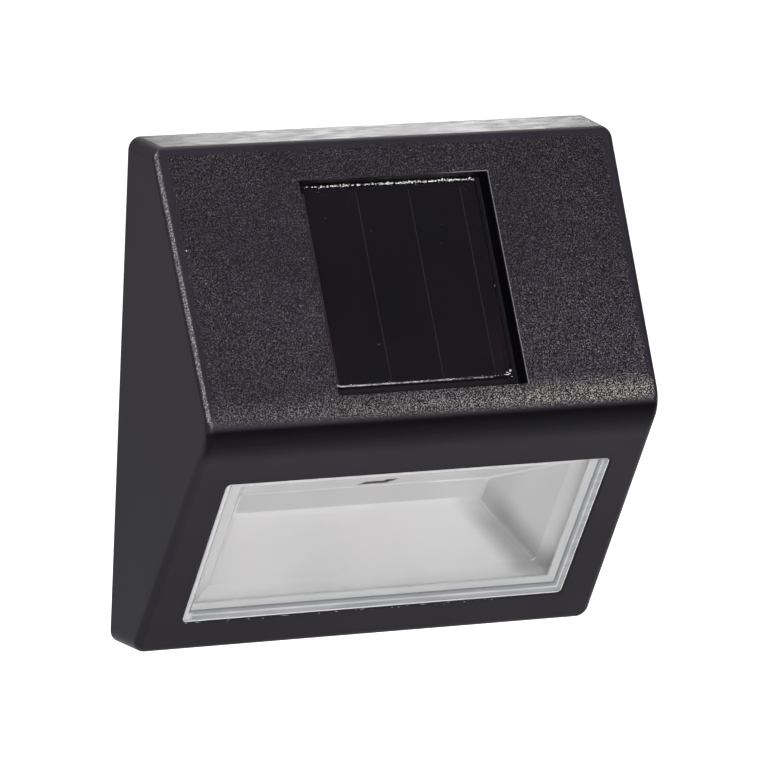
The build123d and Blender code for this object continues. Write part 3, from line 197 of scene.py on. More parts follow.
class Shader:
    """A material's or the world's node tree, written as expressions."""

    def __init__(self, owner: bpy.types.Material | bpy.types.World) -> None:
        """Starts an empty tree.

        Args:
            owner: The material or world that the tree belongs to.
        """
        owner.use_nodes = True
        self.owner = owner
        self.tree = owner.node_tree
        self.tree.nodes.clear()

    def node(self, kind: str, settings: dict[str, Any] | None = None,
             inputs: dict[Any, Any] | None = None, output: Any = 0) -> Flow:
        """Adds any node.

        Args:
            kind: The node's type.
            settings: Its settings, set first.
            inputs: Values or flows for its sockets, by name or number.
            output: The name or number of the output wanted.

        Returns:
            That output.
        """
        made = self.tree.nodes.new(kind)
        for name, value in (settings or {}).items():
            setattr(made, name, value)
        for name, value in (inputs or {}).items():
            if isinstance(value, Flow):
                self.tree.links.new(value.socket, made.inputs[name])
            else:
                made.inputs[name].default_value = value
        return Flow(self, made.outputs[output])

    def coordinates(self) -> Flow:
        """The object's own coordinates, in metres."""
        return self.node("ShaderNodeTexCoord", output="Object")

    def facing(self) -> Flow:
        """The direction that the surface faces."""
        return self.node("ShaderNodeTexCoord", output="Normal")

    def ray(self, kind: str) -> Flow:
        """1 for rays of one kind, such as Camera, and 0 for others."""
        return self.node("ShaderNodeLightPath", output=f"Is {kind} Ray")

    def dot(self, vector: Flow, way: Vector) -> Flow:
        """How far a vector points a given way."""
        return self.node("ShaderNodeVectorMath", {"operation": "DOT_PRODUCT"},
                         {0: vector, 1: tuple(way)}, "Value")

    def axes(self, vector: Flow) -> tuple[Flow, Flow, Flow]:
        """The X, Y and Z of a vector."""
        first = self.node("ShaderNodeSeparateXYZ", inputs={0: vector})
        return first, *(Flow(self, first.socket.node.outputs[i]) for i in (1, 2))

    def over(self, slope: Slope) -> tuple[Flow, Flow, Flow]:
        """Where a point lies by a slope.

        Args:
            slope: The slope.

        Returns:
            How far right of the middle, up the slope and under its skin, as Slope.place takes them.
        """
        away = self.node("ShaderNodeVectorMath", {"operation": "SUBTRACT"},
                         {0: self.coordinates(), 1: Wedge.ridge})
        return self.axes(away)[0], self.dot(away, slope.rise), self.dot(away, slope.inward)

    def noise(self, scale: float, detail: float = 2.0, stretch: Place = (1, 1, 1),
              shift: float = 0.0) -> Flow:
        """Noise on the object's coordinates.

        Args:
            scale: Features in a metre.
            detail: Octaves of finer noise.
            stretch: A share of the scale along each axis.
            shift: Moves the pattern, so that two of them differ.

        Returns:
            A value round 0.5.
        """
        place = self.node("ShaderNodeMapping", inputs={"Vector": self.coordinates(), "Scale": stretch,
                                                       "Location": (shift, shift, shift)})
        return self.node("ShaderNodeTexNoise", inputs={"Vector": place, "Scale": scale, "Detail": detail})

    def cells(self, scale: float) -> Flow:
        """The distance to scattered points, for specks and grains."""
        return self.node("ShaderNodeTexVoronoi", inputs={"Vector": self.coordinates(), "Scale": scale})

    def mix(self, share: Flow | float, first: Flow | Colour, second: Flow | Colour) -> Flow:
        """A colour between two others.

        Args:
            share: 0 for the first, 1 for the second.
            first: A colour.
            second: A colour.

        Returns:
            The mixed colour.
        """
        colours = [c if isinstance(c, Flow) else (*c, 1) for c in (first, second)]
        return self.node("ShaderNodeMix", {"data_type": "RGBA"}, {0: share, 6: colours[0], 7: colours[1]}, 2)

    def layers(self, ground: Flow | Colour, *coats: tuple[Flow, Flow | Colour]) -> Flow:
        """A ground colour with others laid over it.

        Args:
            ground: The colour at the bottom.
            coats: What lies over it in order, each as its share and its colour.

        Returns:
            The colour that shows.
        """
        for share, colour in coats:
            ground = self.mix(share, ground, colour)
        return ground

    def bump(self, height: Flow, depth: float, strength: float = 1.0) -> Flow:
        """A bumped normal.

        Args:
            height: The height, from 0 to 1.
            depth: How deep that is, in metres.
            strength: How much of it shows.

        Returns:
            The normal.
        """
        return self.node("ShaderNodeBump", inputs={"Height": height, "Distance": depth, "Strength": strength})

    def surface(self, **sockets: Any) -> Flow:
        """The Principled surface; a socket's name is written with _ for its spaces."""
        inputs = {name.replace("_", " "): value for name, value in sockets.items()}
        return self.node("ShaderNodeBsdfPrincipled", inputs=inputs)

    def finish(self, surface: Flow) -> None:
        """Links a surface to the tree's output.

        Args:
            surface: The surface.
        """
        kind = "World" if isinstance(self.owner, bpy.types.World) else "Material"
        end = self.tree.nodes.new("ShaderNodeOutput" + kind)
        self.tree.links.new(surface.socket, end.inputs["Surface"])

    def paint(self, **sockets: Any) -> None:
        """Ends the tree in a Principled surface."""
        self.finish(self.surface(**sockets))

    def glaze(self, share: Flow, tint: Colour, glossy: Flow) -> None:
        """Ends the tree in a clear sheet, of which a share is a glossy surface."""
        clear = self.node("ShaderNodeBsdfTransparent", inputs={"Color": (*tint, 1)})
        self.finish(self.node("ShaderNodeMixShader", inputs={0: share.least(1.0), 1: clear, 2: glossy}))


# ---- finishes -----------------------------------------------------------------------------------
@dataclass(frozen=True)
class Finish:
    """What every finish has: a name and a way to make its material once."""

    name: str

    def material(self) -> bpy.types.Material:
        """The finish's material, made on its first use.

        Returns:
            The material.
        """
        name = "finish_" + self.name
        known = bpy.data.materials.get(name)
        if known is None:
            known = bpy.data.materials.new(name)
            self.write(Shader(known))
        return known

    def write(self, shader: Shader) -> None:
        """Writes the finish's nodes; each finish has its own."""
        raise NotImplementedError


@dataclass(frozen=True)
class HousingPlastic(Finish):
    """Charcoal plastic: spark-eroded grain on the upper slope, satin elsewhere, a painted highlight on the
    ridge.
    """

    satin: Colour = (0.0066, 0.0048, 0.009)
    satin_lit_above: Colour = (0.0178, 0.0148, 0.0215)
    satin_height: Span = (-46 * MM, 44 * MM)
    grain_dark: Colour = (0.0035, 0.0025, 0.0055)
    grain_pale: Colour = (0.046, 0.041, 0.052)
    grain_painted_glint: Colour = (0.16, 0.155, 0.16)
    grain_size: float = 0.27 * MM
    grain_depth: float = 0.13 * MM
    grain_turn: Span = (0.9, 0.985)
    grain_top: Span = (1.36 * MM, 2.72 * MM)
    grain_side: Span = (2.38 * MM, 3.74 * MM)
    painted_light_down: Span = (60 * MM, 2 * MM)
    painted_light_right: Span = (12 * MM, 46 * MM)
    painted_light_low_right: Span = (34 * MM, 4 * MM)
    painted_shade_left: Span = (0.0, -40 * MM)
    painted_shade_left_rise: Span = (50 * MM, 30 * MM)
    ridge_highlight: Colour = (0.285, 0.27, 0.245)
    ridge_rise: Span = (7.6 * MM, 2.8 * MM)
    ridge_turn: Span = (0.9, 0.99)
    ridge_right: Span = (-58 * MM, 56 * MM)
    ridge_ends: Span = (1.2 * MM, 4 * MM)
    painted_shade: Colour = (0.0035, 0.0027, 0.0048)
    painted_shade_head: Span = (1.1 * MM, 0.2 * MM)
    painted_shade_foot: Span = (-4.2 * MM, -1.8 * MM)
    recess_depth: Span = (0.25 * MM, 0.6 * MM)
    recess_side: Span = (21.2 * MM, 20.9 * MM)
    recess_rise: Span = (4 * MM, 51 * MM)
    left_edge_highlight: Colour = (0.26, 0.25, 0.26)
    glint: Colour = (0.2, 0.19, 0.2)
    glint_width: float = 0.16 * MM
    glint_soft: float = 0.03 * MM
    window_half: float = 20.35 * MM
    window_rise: Span = (5.9 * MM, 49.1 * MM)
    gap_shade: Colour = (0.001, 0.0008, 0.0015)
    gap_width: Span = (0.02 * MM, 0.5 * MM)
    gap_left: Span = (-41.5 * MM, -41 * MM)
    gap_head: Span = (13 * MM, 14 * MM)
    crumb: Colour = (0.2, 0.2, 0.22)
    crumbs_end: Span = (36 * MM, 20 * MM)
    lens_half: float = 41.4 * MM
    lens_foot: float = 49.7 * MM
    dust: Colour = (0.5, 0.5, 0.5)
    lid: Colour = (0.075, 0.07, 0.067)
    sheen_left: Span = (-52 * MM, 8 * MM)
    sheen_right: Span = (75 * MM, 25 * MM)

    def write(self, shader: Shader) -> None:
        """Writes the satin skin and lays the grain, painted highlights, painted shade, the glints and dust
        over it.

        Args:
            shader: The empty tree of the finish's material.
        """
        x, rise, depth = shader.over(Slope.UPPER)
        fall = -1 * shader.over(Slope.LOWER)[1]
        _, _, z = shader.axes(shader.coordinates())
        facing = shader.facing()
        side, forward, upward = shader.axes(facing)
        slope = shader.dot(facing, -Slope.UPPER.inward)
        inset = Wedge.half_width - abs(x)

        # The satin skin, with painted light making it a little paler higher up.
        height = z.ramp(*self.satin_height) * 0.8 + shader.noise(45).ramp(*CLOUDY) * 0.2
        satin = shader.mix(height, self.satin, self.satin_lit_above)

        # The grain, which stops short of the slope's edges; painted light makes it palest at the lower right
        # and painted shade a little duller at the left.
        grained = slope.ramp(*self.grain_turn) * (Wedge.slope_length - rise).ramp(*self.grain_top)
        grained = grained * inset.ramp(*self.grain_side)
        grain = shader.noise(1 / self.grain_size)
        grit = grain.ramp(0.48, 0.62) * (shader.noise(0.6 / self.grain_size, 1.0, shift=0.2) * 1.1 + 0.4)
        # Sparks: the grain's brightest specks, painted glints.
        spark = shader.noise(0.9 / self.grain_size, 0.0, shift=0.7).ramp(0.7, 0.78)
        # Random clouds of tone, with painted light lower down and to the right and painted shade at the left.
        patches = shader.noise(48).ramp(*CLOUDY) * 0.3 + rise.ramp(*self.painted_light_down) * 0.3 + 0.52
        patches = patches + x.ramp(*self.painted_light_right) * (rise.ramp(*self.painted_light_low_right) * 0.75 + 0.05)
        patches = patches - x.ramp(*self.painted_shade_left) * rise.ramp(*self.painted_shade_left_rise) * 0.1
        eroded = shader.mix(grit * patches, self.grain_dark, self.grain_pale)
        eroded = shader.mix(spark * patches * 0.5, eroded, self.grain_painted_glint)

        # Painted highlights on the ridge and on the left corner's fillet, painted shade under the ridge and
        # on the window's walls.
        ridge = rise.ramp(*self.ridge_rise) * slope.ramp(*self.ridge_turn) * inset.ramp(*self.ridge_ends)
        ridge = ridge * (x.ramp(*self.ridge_right) * 0.82 + 0.13)
        # Painted highlight on the fillet along the upper slope's left edge.
        corner = side.ramp(-0.34, -0.5) * side.ramp(-0.9, -0.76)
        corner = corner * upward.ramp(0.14, 0.24) * forward.ramp(-0.2, -0.4)
        turned = slope.ramp(0.2, 0.5)
        # Painted shade on the band under the ridge and on the window's recessed walls.
        painted_shade = rise.ramp(*self.painted_shade_head) * rise.ramp(*self.painted_shade_foot) * turned
        recess = depth.ramp(*self.recess_depth) * abs(x).ramp(*self.recess_side)
        recess = recess * rise.band(*self.recess_rise, 0.2 * MM)

        # The glint along the window's right and upper edges.
        foot, top = self.window_rise
        glint_side = x.band(self.window_half, self.window_half + self.glint_width, self.glint_soft)
        glint_side = glint_side * rise.band(foot, top + 0.1 * MM, 0.1 * MM)
        glint_top = rise.band(top, top + self.glint_width, self.glint_soft) * x.ramp(6 * MM, 17 * MM)
        glint_top = glint_top * x.ramp(self.window_half + 0.2 * MM, self.window_half)
        glint = glint_side.most(glint_top) * turned * (grain * 0.5 + 0.45)

        # Painted shade in the gap right of the lens and under it, with crumbs of grit in it.
        gap_shade = (x - self.lens_half).most(fall - self.lens_foot).band(*self.gap_width, 0.1 * MM)
        gap_shade = gap_shade * shader.dot(facing, -Slope.LOWER.inward).ramp(0.5, 0.8)
        gap_shade = gap_shade * x.ramp(*self.gap_left) * fall.ramp(*self.gap_head)
        crumbs = shader.noise(2200, 0.0, (0.6, 1, 1), 0.9).ramp(0.64, 0.74) * x.ramp(*self.crumbs_end)

        # Single specks of dust on the slope, and a painted sheen on the top, palest a little right of its
        # middle and mottled.
        dust = shader.cells(240).ramp(0.05, 0.035) * shader.noise(300, 0.0, shift=0.4).ramp(0.66, 0.7)
        lid = upward.ramp(0.8, 0.97)
        mottle = shader.noise(700, 3.0, (0.35, 1, 1)).ramp(*CLOUDY)
        top_sheen = x.ramp(*self.sheen_left) * x.ramp(*self.sheen_right) * 0.43 + mottle * 0.4 + 0.17

        colour = shader.layers(
            satin, (grained, eroded), (painted_shade.most(recess), self.painted_shade), (ridge * grit, self.ridge_highlight),
            (corner * (grit * 0.8 + 0.12), self.left_edge_highlight), (glint, self.glint), (gap_shade, self.gap_shade),
            (gap_shade * crumbs, self.crumb), (dust * grained * 0.7, self.dust), (lid * top_sheen, self.lid))
        fine = shader.bump(shader.noise(5200, 1.0), 0.005 * MM, 0.3)
        rough = shader.bump(grain, self.grain_depth)
        relief = (grained + ridge + corner + lid * 0.12).least(1.0)
        normal = shader.node("ShaderNodeMix", {"data_type": "VECTOR"}, {0: relief, 4: fine, 5: rough}, 1)
        # Metallic over the near-black painted shade takes the sheen out of it too.
        shader.paint(Base_Color=colour, Roughness=grained * 0.08 + mottle * lid * 0.12 + 0.36,
                     Metallic=(painted_shade * 0.54).most(recess * 0.5), Normal=normal, Specular_IOR_Level=0.2)


@dataclass(frozen=True)
class MouldedPlastic(Finish):
    """Plain moulded plastic with a fine etched grain."""

    colour: Colour
    roughness: float = 0.55
    grain_size: float = 0.3 * MM
    grain_depth: float = 0.02 * MM
    lighter: float = 1.4
    specular: float = 0.4

    def write(self, shader: Shader) -> None:
        """Writes the grain and a little cloudiness.

        Args:
            shader: The empty tree of the finish's material.
        """
        grain = shader.noise(1 / self.grain_size, 3.0)
        clouds = shader.noise(70).ramp(*CLOUDY)
        pale = tuple(c * self.lighter for c in self.colour)
        shader.paint(Base_Color=shader.mix(clouds * 0.5 + grain * 0.3, self.colour, pale),
                     Roughness=grain * 0.1 + (self.roughness - 0.05),
                     Normal=shader.bump(grain, self.grain_depth, 0.8), Specular_IOR_Level=self.specular)


@dataclass(frozen=True)
class ClearLens(Finish):
    """Clear plastic with painted highlights, a painted dark line and painted light where its moulded border
    catches light.

    The border's lines are placed by shares of its width, from 0 at the lens's edge to 1 at its inner edge.
    """

    half_width: float = 41.35 * MM
    foot: float = -49.65 * MM
    skin: float = 0.35 * MM
    borders: tuple[float, float, float] = (1.1 * MM, 2.6 * MM, 3.15 * MM)
    rim_width: float = 1.45 * MM
    tint: Colour = (0.985, 0.983, 0.983)
    border: Colour = (0.25, 0.258, 0.27)
    border_streak: Colour = (0.34, 0.35, 0.363)
    outer: Colour = (0.7, 0.7, 0.7)
    outer_span: Span = (0.13, 0.06)
    middle: Colour = (0.55, 0.56, 0.57)
    middle_span: Span = (0.46, 0.62)
    left_span: Span = (0.2, 0.74)
    left_end: Span = (-39 * MM, -40.2 * MM)
    inner: Colour = (0.15, 0.158, 0.172)
    inner_span: Span = (0.87, 0.98)
    rim: Colour = (0.46, 0.46, 0.465)
    wall: Colour = (0.93, 0.93, 0.935)
    wall_turn: Span = (0.6, 0.35)
    index: float = 1.49

    def write(self, shader: Shader) -> None:
        """Writes the border's painted highlights, painted dark line and painted light over a clear, glossy
        sheet.

        Args:
            shader: The empty tree of the finish's material.
        """
        x, rise, depth = shader.over(Slope.LOWER)
        front = depth.ramp(self.skin * 1.3, self.skin)
        wall = abs(shader.dot(shader.facing(), Slope.LOWER.inward)).ramp(*self.wall_turn)
        left, right, foot = self.borders
        from_right, from_foot = self.half_width - x, rise - self.foot
        share = ((x + self.half_width) / left).least(from_right / right).least(from_foot / foot)
        rim = (from_right / (right + self.rim_width)).least(from_foot / (foot + self.rim_width))
        streak = shader.noise(700, 2.0, (0.12, 1, 1)).ramp(*STREAKY)
        middle = share.band(*self.middle_span, 0.05) * (streak * 0.45 + 0.55)
        middle = middle.most(share.band(*self.left_span, 0.08) * x.ramp(*self.left_end) * 0.9)
        # The border's grey with streaks, under painted highlights on the outer and middle lines, a painted
        # dark inner line and painted light on the rim and walls.
        colour = shader.mix(streak * share.ramp(0.9, 0.3), self.border, self.border_streak)
        colour = shader.layers(
            colour, (middle, self.middle), (share.band(*self.inner_span, 0.03), self.inner),
            (share.ramp(0.98, 1.02), self.rim), (share.ramp(*self.outer_span), self.outer), (wall, self.wall))
        border = share.ramp(1.01, 0.97).most(rim.ramp(1.22, 0.98))
        haze = shader.noise(60).ramp(0.3, 0.8) * 0.03 + 0.03
        mirror = shader.node("ShaderNodeFresnel", inputs={"IOR": self.index})
        solid = haze + (border * 0.6 + mirror * 0.7) * front + wall * 0.85
        shader.glaze(solid, self.tint, shader.surface(Base_Color=colour, Roughness=0.12, IOR=self.index))


@dataclass(frozen=True)
class WhiteWell(Finish):
    """The funnel's smooth white plastic, with painted shade on its back and down its right-hand corner."""

    white: Colour = (0.84, 0.832, 0.84)
    cloud: Colour = (0.81, 0.81, 0.815)
    white_painted_light: Colour = (0.93, 0.925, 0.93)
    right: Span = (-20 * MM, 26 * MM)
    corner_x: float = 26.4 * MM
    corner_rise: float = -37.75 * MM
    corner_depth: float = 15.4 * MM
    corner_spread: float = 0.632
    corner_drop: float = 0.54
    corner_reach: Span = (6.6 * MM, 0.2 * MM)
    corner_back: Span = (11 * MM, 16 * MM)
    wall_back: Span = (9 * MM, 14 * MM)
    back_depth: Span = (13 * MM, 15 * MM)
    back_left: Span = (24 * MM, 8 * MM)
    painted_light: Colour = (0.98, 0.98, 0.98)
    bend_right: Span = (7 * MM, 17 * MM)
    bend_depth: Span = (12 * MM, 14 * MM)
    highlight_line_rise: Span = (-46.47 * MM, -46.31 * MM)
    highlight_line_ends: Span = (5 * MM, 34 * MM)
    lip_rise: Span = (-44.6 * MM, -46.8 * MM)
    lamp_opening_shade: Colour = (0.04, 0.04, 0.042)
    lamp_half: float = 3.6 * MM
    lamp_rise: Span = (-32 * MM, -20 * MM)
    ceiling: tuple[float, float] = (0.64, 0.77)     # how far it faces down the slope and out of it

    def write(self, shader: Shader) -> None:
        """Writes faint clouds, the mould's polish lines, painted highlights and light, and painted shade on
        faces, corners and round the lamp's opening.

        Args:
            shader: The empty tree of the finish's material.
        """
        x, rise, depth = shader.over(Slope.LOWER)
        facing = shader.facing()
        side, _, _ = shader.axes(facing)
        climb = shader.dot(facing, Slope.LOWER.rise)
        out = shader.dot(facing, -Slope.LOWER.inward)

        # Painted shade on the side wall, its fillet, the right flare, the back and down the right-hand
        # corner, each with how much light it keeps.
        front = self.corner_depth - depth
        over_floor = (self.corner_x + front * self.corner_spread - x).most(0.0)
        up_wall = (rise - self.corner_rise + front * self.corner_drop).most(0.0)
        corner = (over_floor + up_wall * 0.95).ramp(*self.corner_reach) * out.ramp(0.995, 0.93)
        corner = corner * (1 - depth.ramp(*self.corner_back) * 0.5)
        wall = side.ramp(-0.35, -0.55) * out.ramp(0.78, 0.7)
        fillet = (side * climb).ramp(-0.04, -0.22)
        flare = out.band(0.8, 0.92, 0.02) * climb.ramp(-0.5, -0.2)
        back = out.ramp(0.93, 0.985) * depth.ramp(*self.back_depth)
        keep = 1 - corner * 0.5
        for dull in (wall * (depth.ramp(*self.wall_back) * 0.12 + 0.18), fillet * 0.12,
                     flare * side.ramp(-0.2, -0.4) * 0.08, back * (x.ramp(*self.back_left) * 0.06 + 0.2)):
            keep = keep * (1 - dull)

        polish = shader.noise(130, 1.0, (0.3, 1, 1))
        white = shader.mix(shader.noise(45, 3.0).ramp(*STREAKY), self.white, self.cloud)
        # Painted light towards the right.
        white = shader.mix(x.ramp(*self.right) * 0.6, white, self.white_painted_light)

        # Painted highlights on the bend under the ceiling and in a line by the lip, and painted light on the
        # lip itself and the left flare.
        bend = climb.band(-0.5, -0.14, 0.08) * x.ramp(*self.bend_right) * depth.ramp(*self.bend_depth)
        # seam: a painted highlight line by the lip, with painted light on the lip and the left flare.
        seam = rise.band(*self.highlight_line_rise, 0.04 * MM) * x.band(*self.highlight_line_ends, 1 * MM)
        seam = seam.most(rise.ramp(*self.lip_rise) * 0.6).most(side.ramp(0.2, 0.4) * 0.6)
        painted_light = (flare * seam).most(bend * polish.ramp(0.4, 0.52))

        # Painted shade round the lamp's opening in the ceiling.
        down, outward = self.ceiling
        ceiling = shader.dot(facing, -down * Slope.LOWER.rise - outward * Slope.LOWER.inward)
        opening = abs(x).ramp(self.lamp_half, self.lamp_half * 0.95) * rise.band(*self.lamp_rise, 0.3 * MM)
        colour = shader.layers(shader.mix(keep, (0, 0, 0), white), (painted_light, self.painted_light),
                               (opening * ceiling.ramp(0.97, 0.85), self.lamp_opening_shade))
        shader.paint(Base_Color=colour, Roughness=polish * 0.1 + 0.2, IOR=1.5,
                     Normal=shader.bump(polish, 0.05 * MM, 0.3))


@dataclass(frozen=True)
class PouredResin(Finish):
    """Clear resin poured over the cells; its rounded foot gathers light."""

    tint: Colour = (0.93, 0.91, 0.93)
    cool: Colour = (0.022, 0.0205, 0.028)
    warm: Colour = (0.028, 0.0205, 0.028)
    dust: Colour = (0.5, 0.5, 0.5)
    foot: Colour = (0.42, 0.41, 0.42)
    foot_end: Span = (15.5 * MM, 14.3 * MM)
    foot_left: Span = (-6 * MM, -19 * MM)

    def write(self, shader: Shader) -> None:
        """Writes a glossy skin that lets the cells show, faint ripples, dust and a painted highlight on the
        foot.

        Args:
            shader: The empty tree of the finish's material.
        """
        x, _, _ = shader.axes(shader.coordinates())
        streak = shader.noise(500, 2.0, (0.15, 1, 1)).ramp(0.35, 0.6)
        broken = shader.noise(2600, 1.0, (0.5, 1, 1), 0.3).ramp(0.42, 0.62)
        # The foot: a painted highlight along the resin's rounded lower edge.
        foot = shader.dot(shader.facing(), -Slope.UPPER.rise).band(0.4, 0.75, 0.1) * x.ramp(*self.foot_end)
        foot = foot * (streak * 0.3 + broken * 0.4 + x.ramp(*self.foot_left) * 0.25 + 0.18).least(1.0)
        dust = shader.cells(700).ramp(0.09, 0.05) * shader.noise(350, 1.0).ramp(0.64, 0.7)
        colour = shader.layers(self.cool, (shader.noise(55).ramp(0.4, 0.65), self.warm),
                               (dust, self.dust), (foot, self.foot))
        mirror = shader.node("ShaderNodeFresnel", inputs={"IOR": 1.5})
        glossy = shader.surface(Base_Color=colour, Roughness=dust * 0.5 + 0.09,
                                Normal=shader.bump(shader.noise(90), 0.03 * MM, 0.5))
        shader.glaze(mirror * 1.6 + dust + foot * 0.9 + 0.14, self.tint, glossy)


@dataclass(frozen=True)
class PanelBoard(Finish):
    """Dark laminate; the pale contact layer under the cells shows only in the gaps between them."""

    laminate: tuple[Colour, Colour] = ((0.004, 0.0032, 0.0045), (0.009, 0.0075, 0.0095))
    contact: tuple[Colour, Colour] = ((0.07, 0.055, 0.06), (0.11, 0.09, 0.1))
    contact_half: float = 18.3 * MM
    contact_rise: Span = (9.2 * MM, 47.6 * MM)
    edge: float = 0.05 * MM

    def write(self, shader: Shader) -> None:
        """Writes the two areas, slightly mottled.

        Args:
            shader: The empty tree of the finish's material.
        """
        x, rise, _ = shader.over(Slope.UPPER)
        under = x.band(-self.contact_half, self.contact_half, self.edge)
        under = under * rise.band(*self.contact_rise, self.edge)
        mottle = shader.noise(1500)
        colour = shader.mix(under, shader.mix(mottle, *self.laminate), shader.mix(mottle, *self.contact))
        shader.paint(Base_Color=colour, Roughness=0.6, Specular_IOR_Level=0.15,
                     Normal=shader.bump(mottle, 0.01 * MM, 0.5))


@dataclass(frozen=True)
class CellFilm(Finish):
    """Near-black thin film with hair-fine collector lines."""

    cool: Colour = (0.0155, 0.0135, 0.0195)
    plum: Colour = (0.023, 0.0145, 0.0195)
    line: Colour = (0.05, 0.045, 0.05)
    line_pitch: float = 1.9 * MM

    def write(self, shader: Shader) -> None:
        """Writes a plum cast that changes across the film, and the fine lines.

        Args:
            shader: The empty tree of the finish's material.
        """
        x, _, _ = shader.axes(shader.coordinates())
        line = (x / self.line_pitch).off_middle().ramp(0.04, 0.015)
        cast = shader.noise(40).ramp(*STREAKY)
        shader.paint(Base_Color=shader.layers(self.cool, (cast, self.plum), (line * 0.1, self.line)),
                     Roughness=cast * 0.06 + 0.28)


@dataclass(frozen=True)
class Metal(Finish):
    """Plated or brushed metal."""

    colour: Colour
    roughness: float = 0.3
    brushed: Place = (1, 1, 1)
    dulled: float = 0.6

    def write(self, shader: Shader) -> None:
        """Writes brush marks and dull patches.

        Args:
            shader: The empty tree of the finish's material.
        """
        brush = shader.noise(2600, 2.0, self.brushed)
        dull = shader.noise(400).ramp(0.45, 0.75)
        colour = shader.mix(dull * 0.6, self.colour, tuple(c * self.dulled for c in self.colour))
        shader.paint(Base_Color=colour, Metallic=1.0, Normal=shader.bump(brush, 0.004 * MM, 0.5),
                     Roughness=dull * 0.18 + brush * 0.06 + self.roughness)


@dataclass(frozen=True)
class Rubber(Finish):
    """Soft black seal or foam with an open, dusty skin."""

    colour: Colour
    pore: float = 0.25 * MM

    def write(self, shader: Shader) -> None:
        """Writes the pores and their pale dust.

        Args:
            shader: The empty tree of the finish's material.
        """
        pores = shader.noise(1 / self.pore, 3.0)
        dusty = tuple(c * 1.8 + 0.01 for c in self.colour)
        shader.paint(Base_Color=shader.mix(pores.ramp(0.5, 0.7) * 0.5, self.colour, dusty),
                     Roughness=pores * 0.1 + 0.85, Normal=shader.bump(pores, 0.04 * MM, 0.7))


@dataclass(frozen=True)
class BoardLacquer(Finish):
    """Solder mask over copper runs."""

    colour: Colour = (0.01, 0.11, 0.035)
    copper: Colour = (0.03, 0.2, 0.05)
    runs: float = 380.0
    crossings: float = 260.0

    def write(self, shader: Shader) -> None:
        """Writes copper runs as raised, lighter lines under the lacquer.

        Args:
            shader: The empty tree of the finish's material.
        """
        x, y, _ = shader.axes(shader.coordinates())
        bend = shader.noise(120, 0.0) * 0.6
        along = (x * self.runs + bend).off_middle().ramp(0.2, 0.14)
        across = (y * self.crossings + bend).off_middle().ramp(0.1, 0.06)
        copper = along.most(across) * shader.noise(90, 0.0, shift=0.3).ramp(0.42, 0.5)
        shader.paint(Base_Color=shader.mix(copper, self.colour, self.copper),
                     Roughness=shader.noise(800) * 0.1 + 0.32, Normal=shader.bump(copper, 0.03 * MM))


@dataclass(frozen=True)
class Gloss(Finish):
    """Small glossy mouldings, lacquers and films, with faint unevenness."""

    colour: Colour
    second: Colour
    roughness: float = 0.25
    scale: float = 600.0
    stretch: Place = (1, 1, 1)

    def write(self, shader: Shader) -> None:
        """Writes the colour's changes and a faint ripple.

        Args:
            shader: The empty tree of the finish's material.
        """
        change = shader.noise(self.scale, 2.0, self.stretch)
        shader.paint(Base_Color=shader.mix(change.ramp(0.35, 0.65), self.colour, self.second),
                     Roughness=change * 0.08 + self.roughness, Normal=shader.bump(change, 0.01 * MM, 0.4))


@dataclass(frozen=True)
class SleeveFilm(Finish):
    """The cell's shrink film: a green barrel with a pale band towards its raised end."""

    green: Colour = (0.015, 0.14, 0.05)
    pale: Colour = (0.62, 0.62, 0.6)
    band_start: float = 13.5 * MM
    line: Span = (11.9 * MM, 12.6 * MM)
    edge: float = 0.1 * MM

    def write(self, shader: Shader) -> None:
        """Writes the two bands, the film's gloss and its creases.

        Args:
            shader: The empty tree of the finish's material.
        """
        x, _, _ = shader.axes(shader.coordinates())
        pale = x.ramp(self.band_start, self.band_start + 2 * self.edge)
        pale = pale.most(x.band(*self.line, self.edge / 2))
        crease = shader.noise(500, 2.0, (0.2, 1, 1))
        shader.paint(Base_Color=shader.mix(pale, self.green, self.pale),
                     Roughness=crease * 0.12 + 0.22, Normal=shader.bump(crease, 0.02 * MM, 0.4))


HOUSING = HousingPlastic("housing_charcoal")
COVER = MouldedPlastic("cover_charcoal", (0.016, 0.0155, 0.0175))
KNOB = MouldedPlastic("knob_black", (0.022, 0.021, 0.021), 0.4)
CASE = MouldedPlastic("switch_case_black", (0.018, 0.018, 0.018), 0.5)
CHIP = MouldedPlastic("chip_epoxy", (0.01, 0.01, 0.011), 0.42, 0.08 * MM, 0.01 * MM)
LENS = ClearLens("lens_clear")
WELL = WhiteWell("well_white")
RESIN = PouredResin("panel_resin_clear")
CELLS = CellFilm("cell_film_black")
LAMINATE = PanelBoard("panel_laminate")
SEALANT = Gloss("sealant_silicone", (0.012, 0.011, 0.013), (0.03, 0.028, 0.03), 0.4, 900)
# Beads of sealant, painted pale to stand for glints.
SEALANT_GLINTS = Gloss("sealant_specks", (0.75, 0.75, 0.74), (0.5, 0.5, 0.49), 0.2, 2500)
RUBBER = Rubber("seal_rubber", (0.02, 0.02, 0.021))
FOAM = Rubber("seal_foam", (0.06, 0.06, 0.062), 0.4 * MM)
SCREW_STEEL = Metal("screw_zinc", (0.62, 0.63, 0.65), 0.28)
NICKEL = Metal("contact_nickel", (0.66, 0.64, 0.6), 0.3, (0.1, 1, 1))
TIN = Metal("switch_tin", (0.58, 0.58, 0.58), 0.35, (0.1, 1, 1))
COPPER = Gloss("coil_enamel", (0.45, 0.16, 0.05), (0.3, 0.09, 0.03), 0.25, 3000)
CAN_STEEL = Metal("cell_can", (0.66, 0.66, 0.67), 0.25, (0.1, 1, 1))
BOARD = BoardLacquer("board_lacquer")
LED_CASE = Gloss("lamp_case_white", (0.78, 0.77, 0.72), (0.7, 0.68, 0.62), 0.35, 1200)
PHOSPHOR = Gloss("lamp_phosphor", (0.72, 0.52, 0.1), (0.62, 0.42, 0.06), 0.3, 1500)
